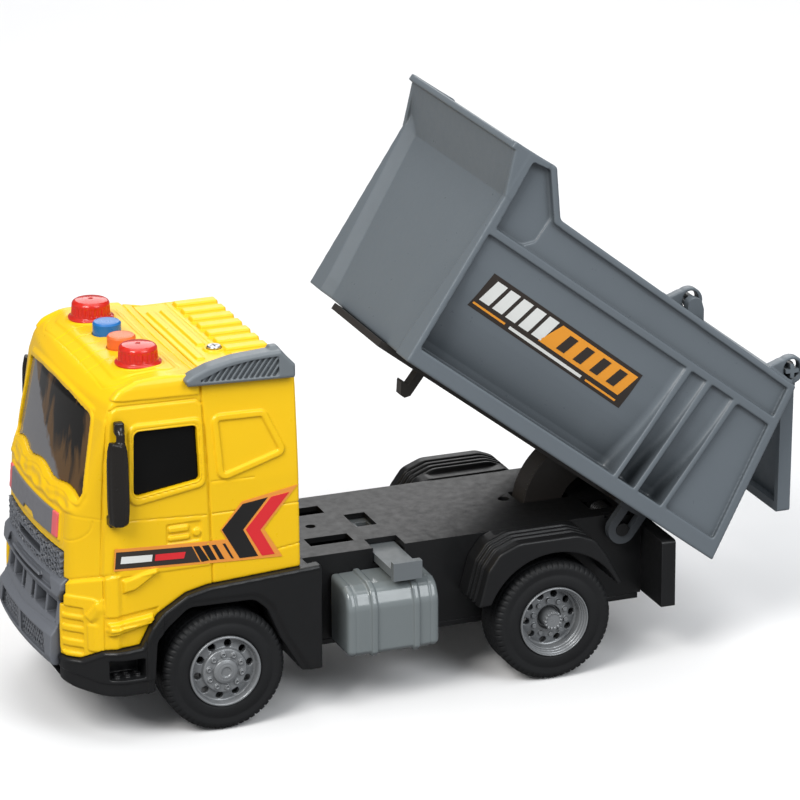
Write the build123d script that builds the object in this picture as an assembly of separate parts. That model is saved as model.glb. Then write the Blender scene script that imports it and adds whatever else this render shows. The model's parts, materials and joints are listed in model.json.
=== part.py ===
from build123d import *
import math
import os

# Toy tipper truck with the dump bed raised and the tailgate hanging from its pins.
# X runs across (+X is the truck's left), the cab faces -Y, Z is up and the tyres stand on Z = 0.
# Parts are modelled with Y = 0 midway between the axles and shifted along Y on export.
# All sizes are in mm.

# ---------------------------------------------------------------- driving dimensions
EXPORT_SHIFT_Y = -17.6       # puts the origin under the middle of the truck's overall box

WHEELBASE = 114.4
FRONT_AXLE_Y, REAR_AXLE_Y = -WHEELBASE / 2, WHEELBASE / 2
TYRE_R = 20.5                # also the height of the axles
TYRE_WIDTH = 15.6
RIM_R = 12.0
RIM_X = 44.6                 # outer face of the rims
AXLE_R = 1.5
RUN_GAP = 0.06               # radial running clearance of shafts and pins

CAB_HALF = 43.5              # half width at the waist
CAB_TOP_HALF = 41.4          # half width below the roof edge
ROOF_Z = 121.4               # roof at the beacons
ROOF_REAR_Z = 118.4          # lower roof behind the step
BOW_Y = 110.0                # vertical axis the cab front is bowed about
SKIRT_HALF = 45.0            # black lower cab half width
CAB_REAR = -30.3             # rear wall
WALL = 1.8                   # moulded wall
CAB_FIT = -0.02              # inset of the form cut from parts that sit against the cab
PANE_GAP = 0.06              # play round the glazing

DECK_HALF = 26.4
DECK_Z = 48.2                # deck top
RAIL_Z = 18.9                # underside of the chassis rails
DECK_FRONT, DECK_REAR = -102.6, 96.0
REAR_PANEL_HALF = 43.4
PLATE_Z = 16.9               # underside of the underplate

PIVOT_Y, PIVOT_Z = 87.4, 43.7   # bed pivot
PIVOT_R = 2.2                # pivot pins moulded on the chassis
TILT = 37.5                  # bed angle when raised

BED_HALF = 45.1              # half width over the rails
BED_Z = 52.3                 # underside when lowered
BED_FRONT, BED_REAR = -23.0, 114.0   # bottom edges when lowered
BED_LEAN = -5.4              # the front edge leans forward by this over its height
BED_PANEL_DEPTH = 3.0        # recess of the front panel
HINGE_Y, HINGE_Z = 99.2, 119.0  # tailgate hinge when the bed is lowered
HINGE_R = 2.4                # tailgate pin
GATE_LENGTH = 52.0           # hinge to bottom edge of the tailgate

BEACON_X, BEACON_Y = 24.75, -77.85
BUTTON_X, BUTTON_R = 7.6, 4.65
CAB_SCREW_X, CAB_SCREW_Y = 37.0, -40.0
ROOF_SCREW = (13.7, -48.9)
CHASSIS_SCREWS = [(-19, -94), (19, -94), (-19, -30), (19, -30), (-19, 30), (19, 14),
                  (-19, 80), (20.5, 76)]
PILOT_R = 1.15               # screw hole in a boss
SCREW_R = 1.12
SPEAKER_Y = -50
CELL_Y, CELL_R = -44.5, 5.8
CELLS_X = [-27.0, -14.0, -1.0]

SIDES = (-1, 1)


# ---------------------------------------------------------------- helpers
def outline(points, rounds=None):
    """Closed face; rounds maps a corner's index to its fillet radius."""
    face = make_face(Polyline(*points, close=True))
    for i, radius in (rounds or {}).items():
        corner = face.vertices().sort_by_distance((*points[i], 0))[0]
        face = fillet(corner, radius)
    return face


def symmetric(half):
    """Half an outline plus its mirror image, back to the start."""
    return half + [(-x, y) for x, y in reversed(half) if x]


def prism_x(points, x0, x1, rounds=None):
    """(y, z) outline extruded along X."""
    x0, x1 = sorted((x0, x1))
    plane = Plane(origin=(x0, 0, 0), x_dir=(0, 1, 0), z_dir=(1, 0, 0))
    return extrude(plane * outline(points, rounds), amount=x1 - x0)


def prism_y(points, y0, y1, rounds=None):
    """(x, z) outline extruded along Y."""
    plane = Plane(origin=(0, y1, 0), x_dir=(1, 0, 0), z_dir=(0, -1, 0))
    return extrude(plane * outline(points, rounds), amount=y1 - y0)


def prism_z(points, z0, z1, rounds=None):
    """(x, y) outline extruded along Z."""
    plane = Plane(origin=(0, 0, z0), x_dir=(1, 0, 0), z_dir=(0, 0, 1))
    return extrude(plane * outline(points, rounds), amount=z1 - z0)


def block(x0, x1, y0, y1, z0, z1):
    """Box between limits; each pair may come in either order."""
    centre = Pos((x0 + x1) / 2, (y0 + y1) / 2, (z0 + z1) / 2)
    return centre * Box(abs(x1 - x0), abs(y1 - y0), abs(z1 - z0))


def rod_x(y, z, radius, x0, x1):
    return Pos((x0 + x1) / 2, y, z) * Rot(0, 90, 0) * Cylinder(radius, abs(x1 - x0))


def rod_y(x, z, radius, y0, y1):
    return Pos(x, (y0 + y1) / 2, z) * Rot(90, 0, 0) * Cylinder(radius, abs(y1 - y0))


def rod_z(x, y, radius, z0, z1):
    return Pos(x, y, (z0 + z1) / 2) * Cylinder(radius, abs(z1 - z0))


def turned_x(points, y, z):
    """(x, radius) outline revolved about an axis along X."""
    return Pos(0, y, z) * revolve(outline(points), Axis.X)


def turned_z(points, x, y):
    """(radius, z) outline revolved about a vertical axis."""
    return Pos(x, y, 0) * revolve(Plane.XZ * outline(points), Axis.Z)


def polar(y, z, radius, degrees):
    """(y, z) of a point on a circle about (y, z)."""
    angle = math.radians(degrees)
    return y + radius * math.cos(angle), z + radius * math.sin(angle)


def mirrored(shape):
    return mirror(shape, Plane.YZ)


def join(shapes):
    total = shapes[0]
    for shape in shapes[1:]:
        total = total + shape
    return total


def largest(shape):
    """Drops loose slivers left by the cuts."""
    return shape.solids().sort_by(SortBy.VOLUME)[-1]


def raise_bed(shape):
    """From the lowered position to the raised one, front up."""
    return shape.rotate(Axis((0, PIVOT_Y, PIVOT_Z), (1, 0, 0)), -TILT)


def cross_slot(x, y, reach, half, z0, z1):
    """Screwdriver slot."""
    return (block(x - reach, x + reach, y - half, y + half, z0, z1)
            + block(x - half, x + half, y - reach, y + reach, z0, z1))


# ---------------------------------------------------------------- cab outlines
# (y, z) upper edge of the black lower cab, which is the lower edge of the shell
WAIST = [(-114, 28.4), (-103, 28.6), (-97.2, 32.2), (-85.2, 33.2), (-82.0, 39.4),
         (-78.5, 43.6), (-69.8, 48.9), (-62.5, 50.6), (-24.4, 52.8)]
# (y, z) wheel arch opening, and the outside of its liner
ARCH = [(-80.9, 10.0), (-80.9, 21.0), (-79.9, 34.4), (-75.8, 38.8), (-69.2, 44.2),
        (-47.2, 43.8), (-42.9, 39.9), (-38.6, 29.5), (-31.4, 17.2), (-31.4, 10.0)]
ARCH_LINER = [(-82.5, 17.0), (-82.5, 22.0), (-81.4, 35.0), (-76.8, 40.0), (-69.8, 45.6),
              (-46.6, 45.3), (-41.6, 40.8), (-37.2, 30.2), (-30.0, 17.9), (-30.0, 17.0)]
# (x, z)
WINDSCREEN = [(-32.6, 108.6), (-16, 110.6), (0, 111.2), (16, 110.6), (32.6, 108.6),
              (35.0, 83.0), (22, 82.6), (8, 84.4), (-8, 84.4), (-22, 82.6), (-35.0, 83.0)]
WINDSCREEN_ROUNDS = {0: 2.5, 4: 2.5, 5: 1.5, 10: 1.5}
# (y, z)
SIDE_WINDOW = [(-85.6, 104.9), (-64.9, 104.6), (-64.4, 86.6), (-86.5, 83.4)]
SIDE_WINDOW_ROUNDS = {0: 2.0, 1: 1.5, 2: 1.5, 3: 2.0}


def cab_form(inset):
    """Outer form of the cab moved inwards; its front is bowed about a vertical axis."""
    # (y, z), from the rear over the roof and down the front
    profile = [
        (60, 20), (60, ROOF_REAR_Z - inset), (-60.6, ROOF_REAR_Z - inset),
        (-66.6, ROOF_Z - 1.6 - inset), (-78, ROOF_Z - inset), (-87, ROOF_Z - 0.8 - inset),
        (-93.6 + inset, 117.6 - inset * 0.7), (-96.6 + inset, 114.0), (-98.6 + inset, 108.5),
        (-103.5 + inset, 83.2), (-106.4 + inset, 77.6), (-107.4 + inset, 66.0),
        (-108.0 + inset, 52.0), (-112.0 + inset, 27.0), (-112.0 + inset, 20)]
    face = outline([(y - BOW_Y, z) for y, z in profile], {5: 8.0, 6: 5.0, 9: 5.0, 10: 4.0})
    plane = Plane(origin=(0, 0, 0), x_dir=(0, 1, 0), z_dir=(1, 0, 0))
    # swept 40 degrees each way
    bowed = Pos(0, BOW_Y, 0) * Rot(0, 0, -40) * revolve(plane * face, Axis.Z, revolution_arc=80)

    rear = CAB_REAR - inset
    back = prism_x([(rear, 0), (rear - 0.9, 118.0 - inset), (rear - 1.6, 140),
                    (-140, 140), (-140, 0)], -60, 60)
    half = CAB_HALF - inset
    plan = prism_z(
        symmetric([(half, CAB_REAR + 20), (half, -93.0), (31.5, -105.6 + inset),
                   (14, -113.0 + inset), (0, -114.0 + inset)]),
        0, 140, {1: 12.0 - inset, 2: 8.0 - inset * 0.5, 6: 8.0 - inset * 0.5, 7: 12.0 - inset})
    top_half = CAB_TOP_HALF - inset
    front = prism_y(
        symmetric([(-half, 0), (-half, 84), (-top_half, 113), (-top_half + 1.2, 122.4 - inset)]),
        -140, 20, {2: 5.0, 3: 6.5 - inset, 4: 6.5 - inset, 5: 5.0})
    return bowed & back & plan & front


def below_waist():
    return prism_x(WAIST + [(-10, WAIST[-1][1]), (-10, 0), (-125, 0), (-125, WAIST[0][1])],
                   -60, 60)


def above_waist():
    return prism_x(WAIST + [(-10, WAIST[-1][1]), (-10, 80), (-125, 80), (-125, 26)], -60, 60)


def door_block(margin, z0, z1):
    """Block over the battery door, moved in by margin all round."""
    return block(-38.6 + margin, 34.0 - margin, -59.4 + margin, -31.9 - margin, z0, z1)


# ---------------------------------------------------------------- cab
def cab_shell():
    shell = cab_form(0) - cab_form(WALL)
    shell -= below_waist()
    shell -= block(-60, 60, CAB_REAR - 0.02, 40, 0, 140)
    shell -= prism_y(WINDSCREEN, -125, -90, WINDSCREEN_ROUNDS)
    shell -= prism_x(SIDE_WINDOW, -60, 60, SIDE_WINDOW_ROUNDS)
    # opening of the grille
    shell -= block(-30.6, 30.6, -125, -95, 20, 63.0)
    shell -= block(-32.1, 32.1, -125, -95, 45.9, 54.3)
    # roof openings
    for side in SIDES:
        shell -= rod_z(side * BEACON_X, BEACON_Y, 5.0, 110, 130)
        shell -= rod_z(side * BUTTON_X, BEACON_Y, BUTTON_R + 0.08, 110, 130)
    shell -= door_block(-0.1, 112, 130)
    # ledge that carries the battery door, and its screw boss
    screw_x, screw_y = ROOF_SCREW
    ledge = (block(-40, 37, -61.0, CAB_REAR - 1.4, 113.2, 115.2)
             - block(-36.2, 32, -57.0, -33.6, 110, 117)) + rod_z(*ROOF_SCREW, 3.2, 106, 115.2)
    ledge += block(screw_x - 0.7, screw_x + 0.7, -58.6, screw_y, 108, 115.2)
    ledge -= rod_z(*ROOF_SCREW, PILOT_R, 100, 118)
    inside = cab_form(WALL - 0.1)
    shell += ledge & inside
    # screw bosses at the foot of the side walls
    for side in SIDES:
        x = side * CAB_SCREW_X
        boss = rod_z(x, CAB_SCREW_Y, 2.8, 53.4, 72)
        boss += block(x, side * 42.0, CAB_SCREW_Y - 0.7, CAB_SCREW_Y + 0.7, 53.4, 70)
        boss -= rod_z(x, CAB_SCREW_Y, PILOT_R, 50, 66)
        shell += boss & inside
    return shell


def glass_layer():
    """Glazing follows the cab form, set back in its openings."""
    return cab_form(0.7) - cab_form(WALL - 0.2)


def windscreen():
    points = [(x * 0.998, z + (PANE_GAP if z < 95 else -PANE_GAP)) for x, z in WINDSCREEN]
    return glass_layer() & prism_y(points, -125, -90, WINDSCREEN_ROUNDS)


def side_window():
    points = [(y + (PANE_GAP if y < -75 else -PANE_GAP), z + (PANE_GAP if z < 95 else -PANE_GAP))
              for y, z in SIDE_WINDOW]
    return glass_layer() & prism_x(points, 30, 60, SIDE_WINDOW_ROUNDS)


def battery_door():
    """Ribbed door in the roof."""
    door = door_block(0, 115.2, 118.6) - door_block(1.6, 110, 117.0)
    door += rod_z(*ROOF_SCREW, 3.0, 115.2, 118.5)
    door += (block(-30, 22, -57.2, -54.4, 118.5, 119.3)
             + block(-30, 8.5, -52.6, -49.8, 118.5, 119.3))
    for i in range(8):
        x = -36.0 + i * 8.2
        door += block(x, x + 4.6, -46.4, -31.9, 118.5, 119.8)
    door += rod_z(*ROOF_SCREW, 3.0, 118.4, 119.4)
    door -= rod_z(*ROOF_SCREW, 1.25, 110, 125)
    door -= rod_z(*ROOF_SCREW, 2.55, 118.2, 125)
    return door


def fairing():
    """Roof fairing, on the left only, with slanted bars in a recess of its outer face."""
    # (y, z)
    side_view = [(-68.6, 119.6), (-67.6, 117.6), (-32.2, 116.4), (-31.8, 117.2), (-31.8, 120.8),
                 (-36.6, 126.0), (-41.5, 125.9), (-52.0, 125.2), (-60.5, 123.4), (-66.0, 121.2)]
    recess = [(-64.2, 118.9), (-36.6, 117.6), (-36.6, 124.4), (-46.0, 124.0), (-55.0, 122.6)]
    body = prism_x(side_view, 37.6, 43.9, {7: 12, 8: 8})
    body -= prism_x(recess, 42.9, 45)
    for i in range(10):
        y = -63.4 + i * 2.85
        bar = prism_x([(y, 117.0), (y + 1.2, 117.0), (y + 6.2, 125.0), (y + 5.0, 125.0)],
                      42.8, 43.6)
        body += bar & prism_x(recess, 42.0, 44.2)
    # small tab on top
    body += (block(37.6, 39.6, -39.6, -35.2, 125.0, 126.4)
             & prism_x([(-41, 120), (-38.8, 126.6), (-37.0, 126.6), (-33, 120)], 37, 44))
    body -= cab_form(CAB_FIT)
    return largest(body)


def grille():
    # upper mesh field; the middle row leaves out its centre for a plain recess
    insert = block(-29.6, 29.6, -107.0, -104.2, 53.0, 62.6)
    for column in range(15):
        for row in range(3):
            x = -28.0 + column * 4.0 + (2.0 if row % 2 else 0)
            z = 54.4 + row * 2.7
            if x < 27.5 and not (abs(x + 0.9) < 13 and row == 1):
                insert -= block(x - 1.3, x + 1.3, -109, -106.2, z, 56.2 + row * 2.7)
    insert -= block(-11.5, 11.5, -109, -105.6, 56.6, 59.2)
    # cross bar
    bar = prism_x([(-104.2, 54.2), (-106.8, 54.2), (-108.6, 52.4), (-109.6, 48.0),
                   (-108.4, 46.0), (-104.2, 46.0)], -32.0, 32.0)
    bar -= block(-20, 20, -112, -108.3, 48.6, 51.6)
    insert += bar
    # lower field with a row of pockets over a shallow trapezium
    lower = prism_x([(-103.0, 46.4), (-107.4, 46.4), (-108.4, 38.6), (-110.0, 36.0),
                     (-111.6, 28.0), (-110.8, 24.6), (-103.0, 24.6)], -30.4, 30.4)
    for x0, x1 in ((-26.6, -17.6), (-15.4, -4.4), (-3.0, 3.0), (4.4, 15.4), (17.6, 26.6)):
        lower -= block(x0, x1, -113, -106.0, 39.4, 44.6)
    lower -= prism_y([(-23, 35.0), (23, 35.0), (24.6, 27.6), (-24.6, 27.6)], -113, -109.0)
    insert += lower
    return insert


def cab_base():
    """Black lower cab: bumper, wheel arches and steps."""
    # (x, y) plans of the outside and the inside
    outer = symmetric([(SKIRT_HALF, CAB_REAR + 30), (SKIRT_HALF, -93.5), (33.0, -107.4),
                       (14, -109.6), (0, -110.4)])
    outer_rounds = {1: 11, 2: 8, 6: 8, 7: 11}
    inner = symmetric([(41.6, CAB_REAR + 30), (41.6, -92.5), (31.0, -104.2), (14, -104.4)])
    base = (prism_z(outer, 16.8, 60, outer_rounds)
            - prism_z(inner, 0, 70, {1: 9, 2: 6, 5: 6, 6: 9}))
    base = base & below_waist()
    base &= prism_x([(-112, 22.0), (-104, 18.4), (-98, 16.9), (-24.4, 16.9), (-24.4, 60),
                     (-112, 60)], -60, 60)
    base -= block(-60, 60, -24.4, 40, 0, 80)
    # floor strips joining both sides
    base += (block(-41.7, 41.7, -37.0, -26.0, 48.25, 50.0)
             + block(-41.7, 41.7, -94.0, -84.0, 27.4, 29.2))
    base -= prism_x(ARCH, -60, 60)
    for side in SIDES:
        liner = prism_x(ARCH_LINER, side * 26.6, side * 43.0) - prism_x(ARCH, -60, 60)
        base += liner & below_waist()
    # step box with treads on each side
    for side in SIDES:
        base += (block(side * 35.6, side * 43.4, -96.0, -82.4, 17.2, 30.2)
                 & prism_z(outer, 0, 60, outer_rounds))
        base -= block(side * 37.2, side * 50, -95.6, -84.2, 22.8, 29.4)
        for i in range(3):
            for j in range(2):
                x, y = 39.2 + j * 2.4, -93.8 + i * 3.4
                base += block(side * x, side * (x + 1.6), y, y + 2.0, 22.7, 23.6)
    # room for the grille, the cab shell and the chassis
    base -= block(-30.7, 30.7, -115, -102.9, 20, 60)
    base -= cab_form(CAB_FIT) & block(-60, 60, -130, -24, 20.0, 60) & above_waist()
    base -= block(-DECK_HALF - 0.1, DECK_HALF + 0.1, DECK_FRONT - 0.2, -20, 10, DECK_Z + 0.04)
    # screw pads
    for side in SIDES:
        base += block(side * 33, side * 41.6, -45, -35, 51.2, 53.3)
        base -= rod_z(side * CAB_SCREW_X, CAB_SCREW_Y, 1.3, 45, 60)
    return largest(base)


def cab_screw(side):
    x = side * CAB_SCREW_X
    head = Pos(x, CAB_SCREW_Y, 50.6) * Cone(1.5, 2.3, 1.2)
    return rod_z(x, CAB_SCREW_Y, SCREW_R, 51.2, 62.0) + head


def door_mirror():
    # bracket and arm
    body = block(42.5, 45.2, -92.4, -89.2, 105.6, 109.2)
    body += prism_x([(-91.6, 106.6), (-88.9, 106.6), (-89.2, 101.5), (-91.7, 101.0)], 44.0, 46.6)
    housing = prism_z([(44.3, -89.6), (47.6, -89.0), (49.0, -91.2), (48.4, -94.4),
                       (45.4, -95.6), (44.0, -93.5)], 75.6, 103.8)
    housing = fillet(housing.edges(), 0.9)
    body += housing
    # lower foot
    body += block(41.5, 44.8, -95.0, -92.2, 75.4, 78.2)
    body -= cab_form(CAB_FIT)
    return largest(body)


# ---------------------------------------------------------------- chassis
def chassis_deck():
    """Deck, rails, pivot pins, axle bearings and screw bosses."""
    deck = block(-DECK_HALF, DECK_HALF, DECK_FRONT, DECK_REAR, 46.4, DECK_Z)
    for side in SIDES:
        deck += block(side * 24.6, side * DECK_HALF, DECK_FRONT, DECK_REAR, RAIL_Z, 46.5)
    deck += (block(-24.7, 24.7, DECK_REAR - 1.8, DECK_REAR, RAIL_Z, 46.5)
             + block(-24.7, 24.7, DECK_FRONT, DECK_FRONT + 1.8, RAIL_Z, 46.5))
    # openings in the deck
    deck -= block(10.4, 17.4, -18.0, -3.0, 44, 50) + block(-17.4, -10.4, -18.0, -3.0, 44, 50)
    deck -= rod_z(0, -11.8, 1.7, 44, 50)
    deck -= block(-6.0, 6.0, 2.0, 9.4, 44, 50)
    deck -= rod_z(-0.6, 57.4, 2.0, 44, 50)
    deck -= block(-5.8, 5.8, 61.0, 79.0, 44, 50)
    # lever notch
    deck -= block(18.0, DECK_HALF + 1, 0.3, 11.5, 42.6, 50)
    # shallow relief over the pivot, outside the middle of the deck
    deck -= block(-40, 40, 82.5, 92.3, 47.0, 50) - block(-24.0, 24.0, 80, 95, 46, 50)
    # window for the lift spring
    deck -= block(8.0, 20.0, 80.5, 91.0, 44, 50)
    # pivot pins on thick pads
    for side in SIDES:
        deck += rod_x(PIVOT_Y, PIVOT_Z, PIVOT_R, side * 24.0, side * 30.6)
        deck += rod_x(PIVOT_Y, PIVOT_Z, 4.2, side * 22.4, side * 26.0)
    # post that carries the lift spring
    deck += (rod_x(PIVOT_Y, PIVOT_Z, 2.0, 7.0, 24.7)
             + block(6.0, 7.6, 84.6, 90.2, 40.0, 46.5))
    # axle bearings in the rails
    for y in (FRONT_AXLE_Y, REAR_AXLE_Y):
        for side in SIDES:
            deck += (rod_x(y, TYRE_R, 3.4, side * 22.6, side * 27.6)
                     & block(-40, 40, -200, 200, RAIL_Z, 60))
        deck -= rod_x(y, TYRE_R, AXLE_R + RUN_GAP, -40, 40)
    for x, y in CHASSIS_SCREWS:
        deck += rod_z(x, y, 2.8, RAIL_Z, 46.5)
        deck -= rod_z(x, y, PILOT_R, 10, 34)
    # lip for the release lever spring
    deck += block(-24.7, -21.5, 2.5, 9.5, 38.0, 46.5)
    return deck


def rear_panel():
    """Cross panel behind the deck, with ribbed side blocks and a centre block."""
    half, front = REAR_PANEL_HALF, DECK_REAR
    panel = prism_y(symmetric([(half, 42.8), (half, 19.6), (24, 19.6), (22, 22.6)]),
                    front, front + 5.0, {7: 1.2, 0: 1.2})
    panel -= block(-half + 1.8, half - 1.8, front + 1.6, front + 9, 24.4, 41.0)
    for side in SIDES:
        panel += block(side * 26, side * 39, front + 1.5, front + 4.4, 30.0, 37.6)
        for i in range(3):
            x = 27.2 + 4 * i
            panel -= block(side * x, side * (x + 3.0), front + 3.6, front + 6, 31.4, 36.2)
    panel += block(-13, 13, front + 1.5, front + 3.6, 28.6, 35.6)
    panel -= rod_y(0, 26.6, 1.5, front - 1, front + 6)
    return panel


def underplate():
    plate = block(-DECK_HALF, DECK_HALF, -100.0, 95.0, PLATE_Z, RAIL_Z - 0.15)
    # gearbox opening, then a groove over the front axle
    plate -= block(-14.6, 14.6, 22.0, 71.0, 10, 25)
    plate -= block(-22.0, 22.0, FRONT_AXLE_Y - 2.4, FRONT_AXLE_Y + 2.4, 18.2, 25)
    for x, y in CHASSIS_SCREWS:
        plate -= rod_z(x, y, 1.25, 10, 25)
        plate -= rod_z(x, y, 2.35, 10, 17.96)
    # grid of small holes
    for i in range(9):
        for j in range(5):
            plate -= rod_z(-8 + j * 4, -20 + i * 4, 0.9, 10, 25)
    return plate


def chassis_screw(x, y):
    screw = rod_z(x, y, SCREW_R, 17.5, 27.0) + rod_z(x, y, 2.2, PLATE_Z + 0.05, 17.95)
    return screw - cross_slot(x, y, 1.2, 0.3, 15.5, 17.4)


def rear_fender():
    # (y, z) side views
    outer = [(30.2, 29.4), (33.4, 41.5), (37.6, 47.2), (44.6, 50.0), (65.0, 50.0), (71.2, 47.6),
             (75.4, 41.6), (81.0, 31.0), (77.6, 30.6), (57.2, 24), (34.2, 29.6)]
    inner = [(32.2, 20), (34.6, 40.6), (38.6, 45.8), (45.0, 48.4), (64.6, 48.4), (70.2, 46.2),
             (74.0, 41.0), (79.5, 20)]
    groove_floor = [(31.0, 10), (31.2, 29.4), (34.2, 41.1), (38.2, 46.5), (44.9, 49.2),
                    (64.8, 49.2), (70.7, 46.9), (74.7, 41.2), (80.2, 31.0), (80.2, 10)]
    inner_rounds = {2: 4, 3: 6, 4: 6, 5: 5}
    inner_x = 26.0
    # the hollow is lower beside the chassis than under the ridges
    hollow = prism_x(inner, inner_x, BED_HALF - 1.5, inner_rounds)
    hollow &= block(31.8, 60, 0, 100, 0, 60)
    hollow += Pos(0, 0, -1.7) * prism_x(inner, inner_x, 31.9, inner_rounds)
    fender = prism_x(outer, 26.45, BED_HALF, {2: 5, 3: 7, 4: 7, 5: 6, 1: 5})
    fender = fender - hollow - rod_x(REAR_AXLE_Y, TYRE_R, 24.4, 20, 50)
    # grooves between the four ridges
    for i in range(3):
        x = 33.2 + i * 3.1
        groove = block(x, x + 1.5, 28, 84, 20, 54)
        groove -= prism_x(groove_floor, x - 1, x + 3, {2: 5, 3: 5, 4: 7, 5: 7, 6: 6})
        fender -= groove
    fender -= block(26, 31.6, 20, 90, 48.6, 60)
    return largest(fender)


def fuel_tank():
    """Hollow tank with two straps; the sections are (x, z)."""
    rounds = {1: 0.6, 2: 0.6, 3: 4, 4: 4}
    tank = prism_y([(26.5, 18.2), (42.6, 18.2), (43.9, 19.6), (43.9, 35.0), (41.6, 39.6),
                    (38.4, 41.0), (26.5, 41.4)], -15.0, 16.8, rounds)
    # soften the end rims, except beside the chassis
    ends = tank.faces().filter_by(Plane.XZ)
    tank = fillet(ends.edges().filter_by(lambda edge: edge.center().X > 28), 1.0)
    for y in (-5.9, 8.7):
        tank += prism_y([(26.5, 17.5), (43.0, 17.5), (44.7, 19.2), (44.7, 35.2), (42.2, 40.3),
                         (38.6, 41.8), (26.5, 42.2)], y - 1.1, y + 1.1, rounds)
    tank -= prism_y([(26.0, 20.0), (41.8, 20.0), (42.1, 35.0), (39.6, 38.6), (37, 39.4),
                     (26.0, 39.6)], -13.2, 15.0)
    return tank


def release_lever():
    """Lever under the deck, with a handle on the left."""
    lever = (block(-10.0, 24.0, -0.2, 11.0, 44.4, 46.0)
             + block(20.0, 43.5, 0.9, 10.9, 43.2, 46.0)
             + block(40.9, 43.5, 0.9, 10.9, 42.4, 48.6))
    # stepped catch window
    lever -= block(-2.7, 2.4, 4.7, 9.0, 43, 47) + block(2.3, 7.6, 1.9, 9.0, 43, 47)
    # spring tab
    lever += block(-10.0, -8.4, 3.0, 8.0, 39.6, 44.6)
    return lever


def spring(x, y, z, radius, pitch, length, wire_r):
    """Coil running along +X from the given point."""
    path = Helix(pitch=pitch, height=length, radius=radius)
    wire = Plane(origin=path @ 0, z_dir=path % 0) * Circle(wire_r)
    return Pos(x, y, z) * Rot(0, 90, 0) * sweep(wire, path=path, is_frenet=True)


# ---------------------------------------------------------------- dump bed (drawn lowered)
def front_y(z):
    """Y of the leaning front edge at a height."""
    return BED_FRONT + BED_LEAN * (z - BED_Z) / 76.5


def load_space():
    """Sloped lower sides, kicked-up tail and a leaning front."""
    space = prism_y(
        symmetric([(-41.8, 140), (-41.8, 92), (-40.8, 82), (-39.2, 74), (-36.7, 66.5),
                   (-34.3, 60.5), (-32.0, 56.5)]),
        -60, 150, {1: 20, 2: 12, 3: 12, 4: 10, 9: 10, 10: 12, 11: 12, 12: 20})
    space &= prism_x([(-18.4, 56.5), (-22.6, 114.0), (-36, 133.0), (-36, 140), (150, 140),
                      (150, 76.7), (76, 56.5)], -60, 60)
    return space


def panel_chamfer(side):
    """Chamfered strip beside the recessed front panel, following the lean."""
    def section(z):
        y = front_y(z)
        return Plane(origin=(0, 0, z)) * outline(
            [(side * 37.8, y - 2), (side * 37.8, y + BED_PANEL_DEPTH), (side * 43.4, y),
             (side * 43.4, y - 2)])
    return loft([section(50), section(140)])


def hinge_ring(side):
    """C-shaped ring for a tailgate pin."""
    inner, outer = sorted((side * 38.3, side * 41.9))
    ring = prism_x([(90.2, 114.0), (94.6, 120.6), (97.0, 122.6), (103.2, 120.0),
                    (103.0, 116.0), (101.8, 112.0)], inner, outer, {2: 2.5, 1: 2.0})
    ring += rod_x(HINGE_Y, HINGE_Z, 4.3, inner, outer)
    ring += block(side * 41.5, side * 43.5, 90.6, 101.4, 112.0, 116.4)
    ring -= rod_x(HINGE_Y, HINGE_Z, HINGE_R + RUN_GAP, inner - 1, outer + 1)
    ring -= prism_x([(98.6, 119.6), (101.0, 124.6), (105.4, 122.6), (100.4, 119.0)],
                    inner - 1, outer + 1)
    return ring


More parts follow.
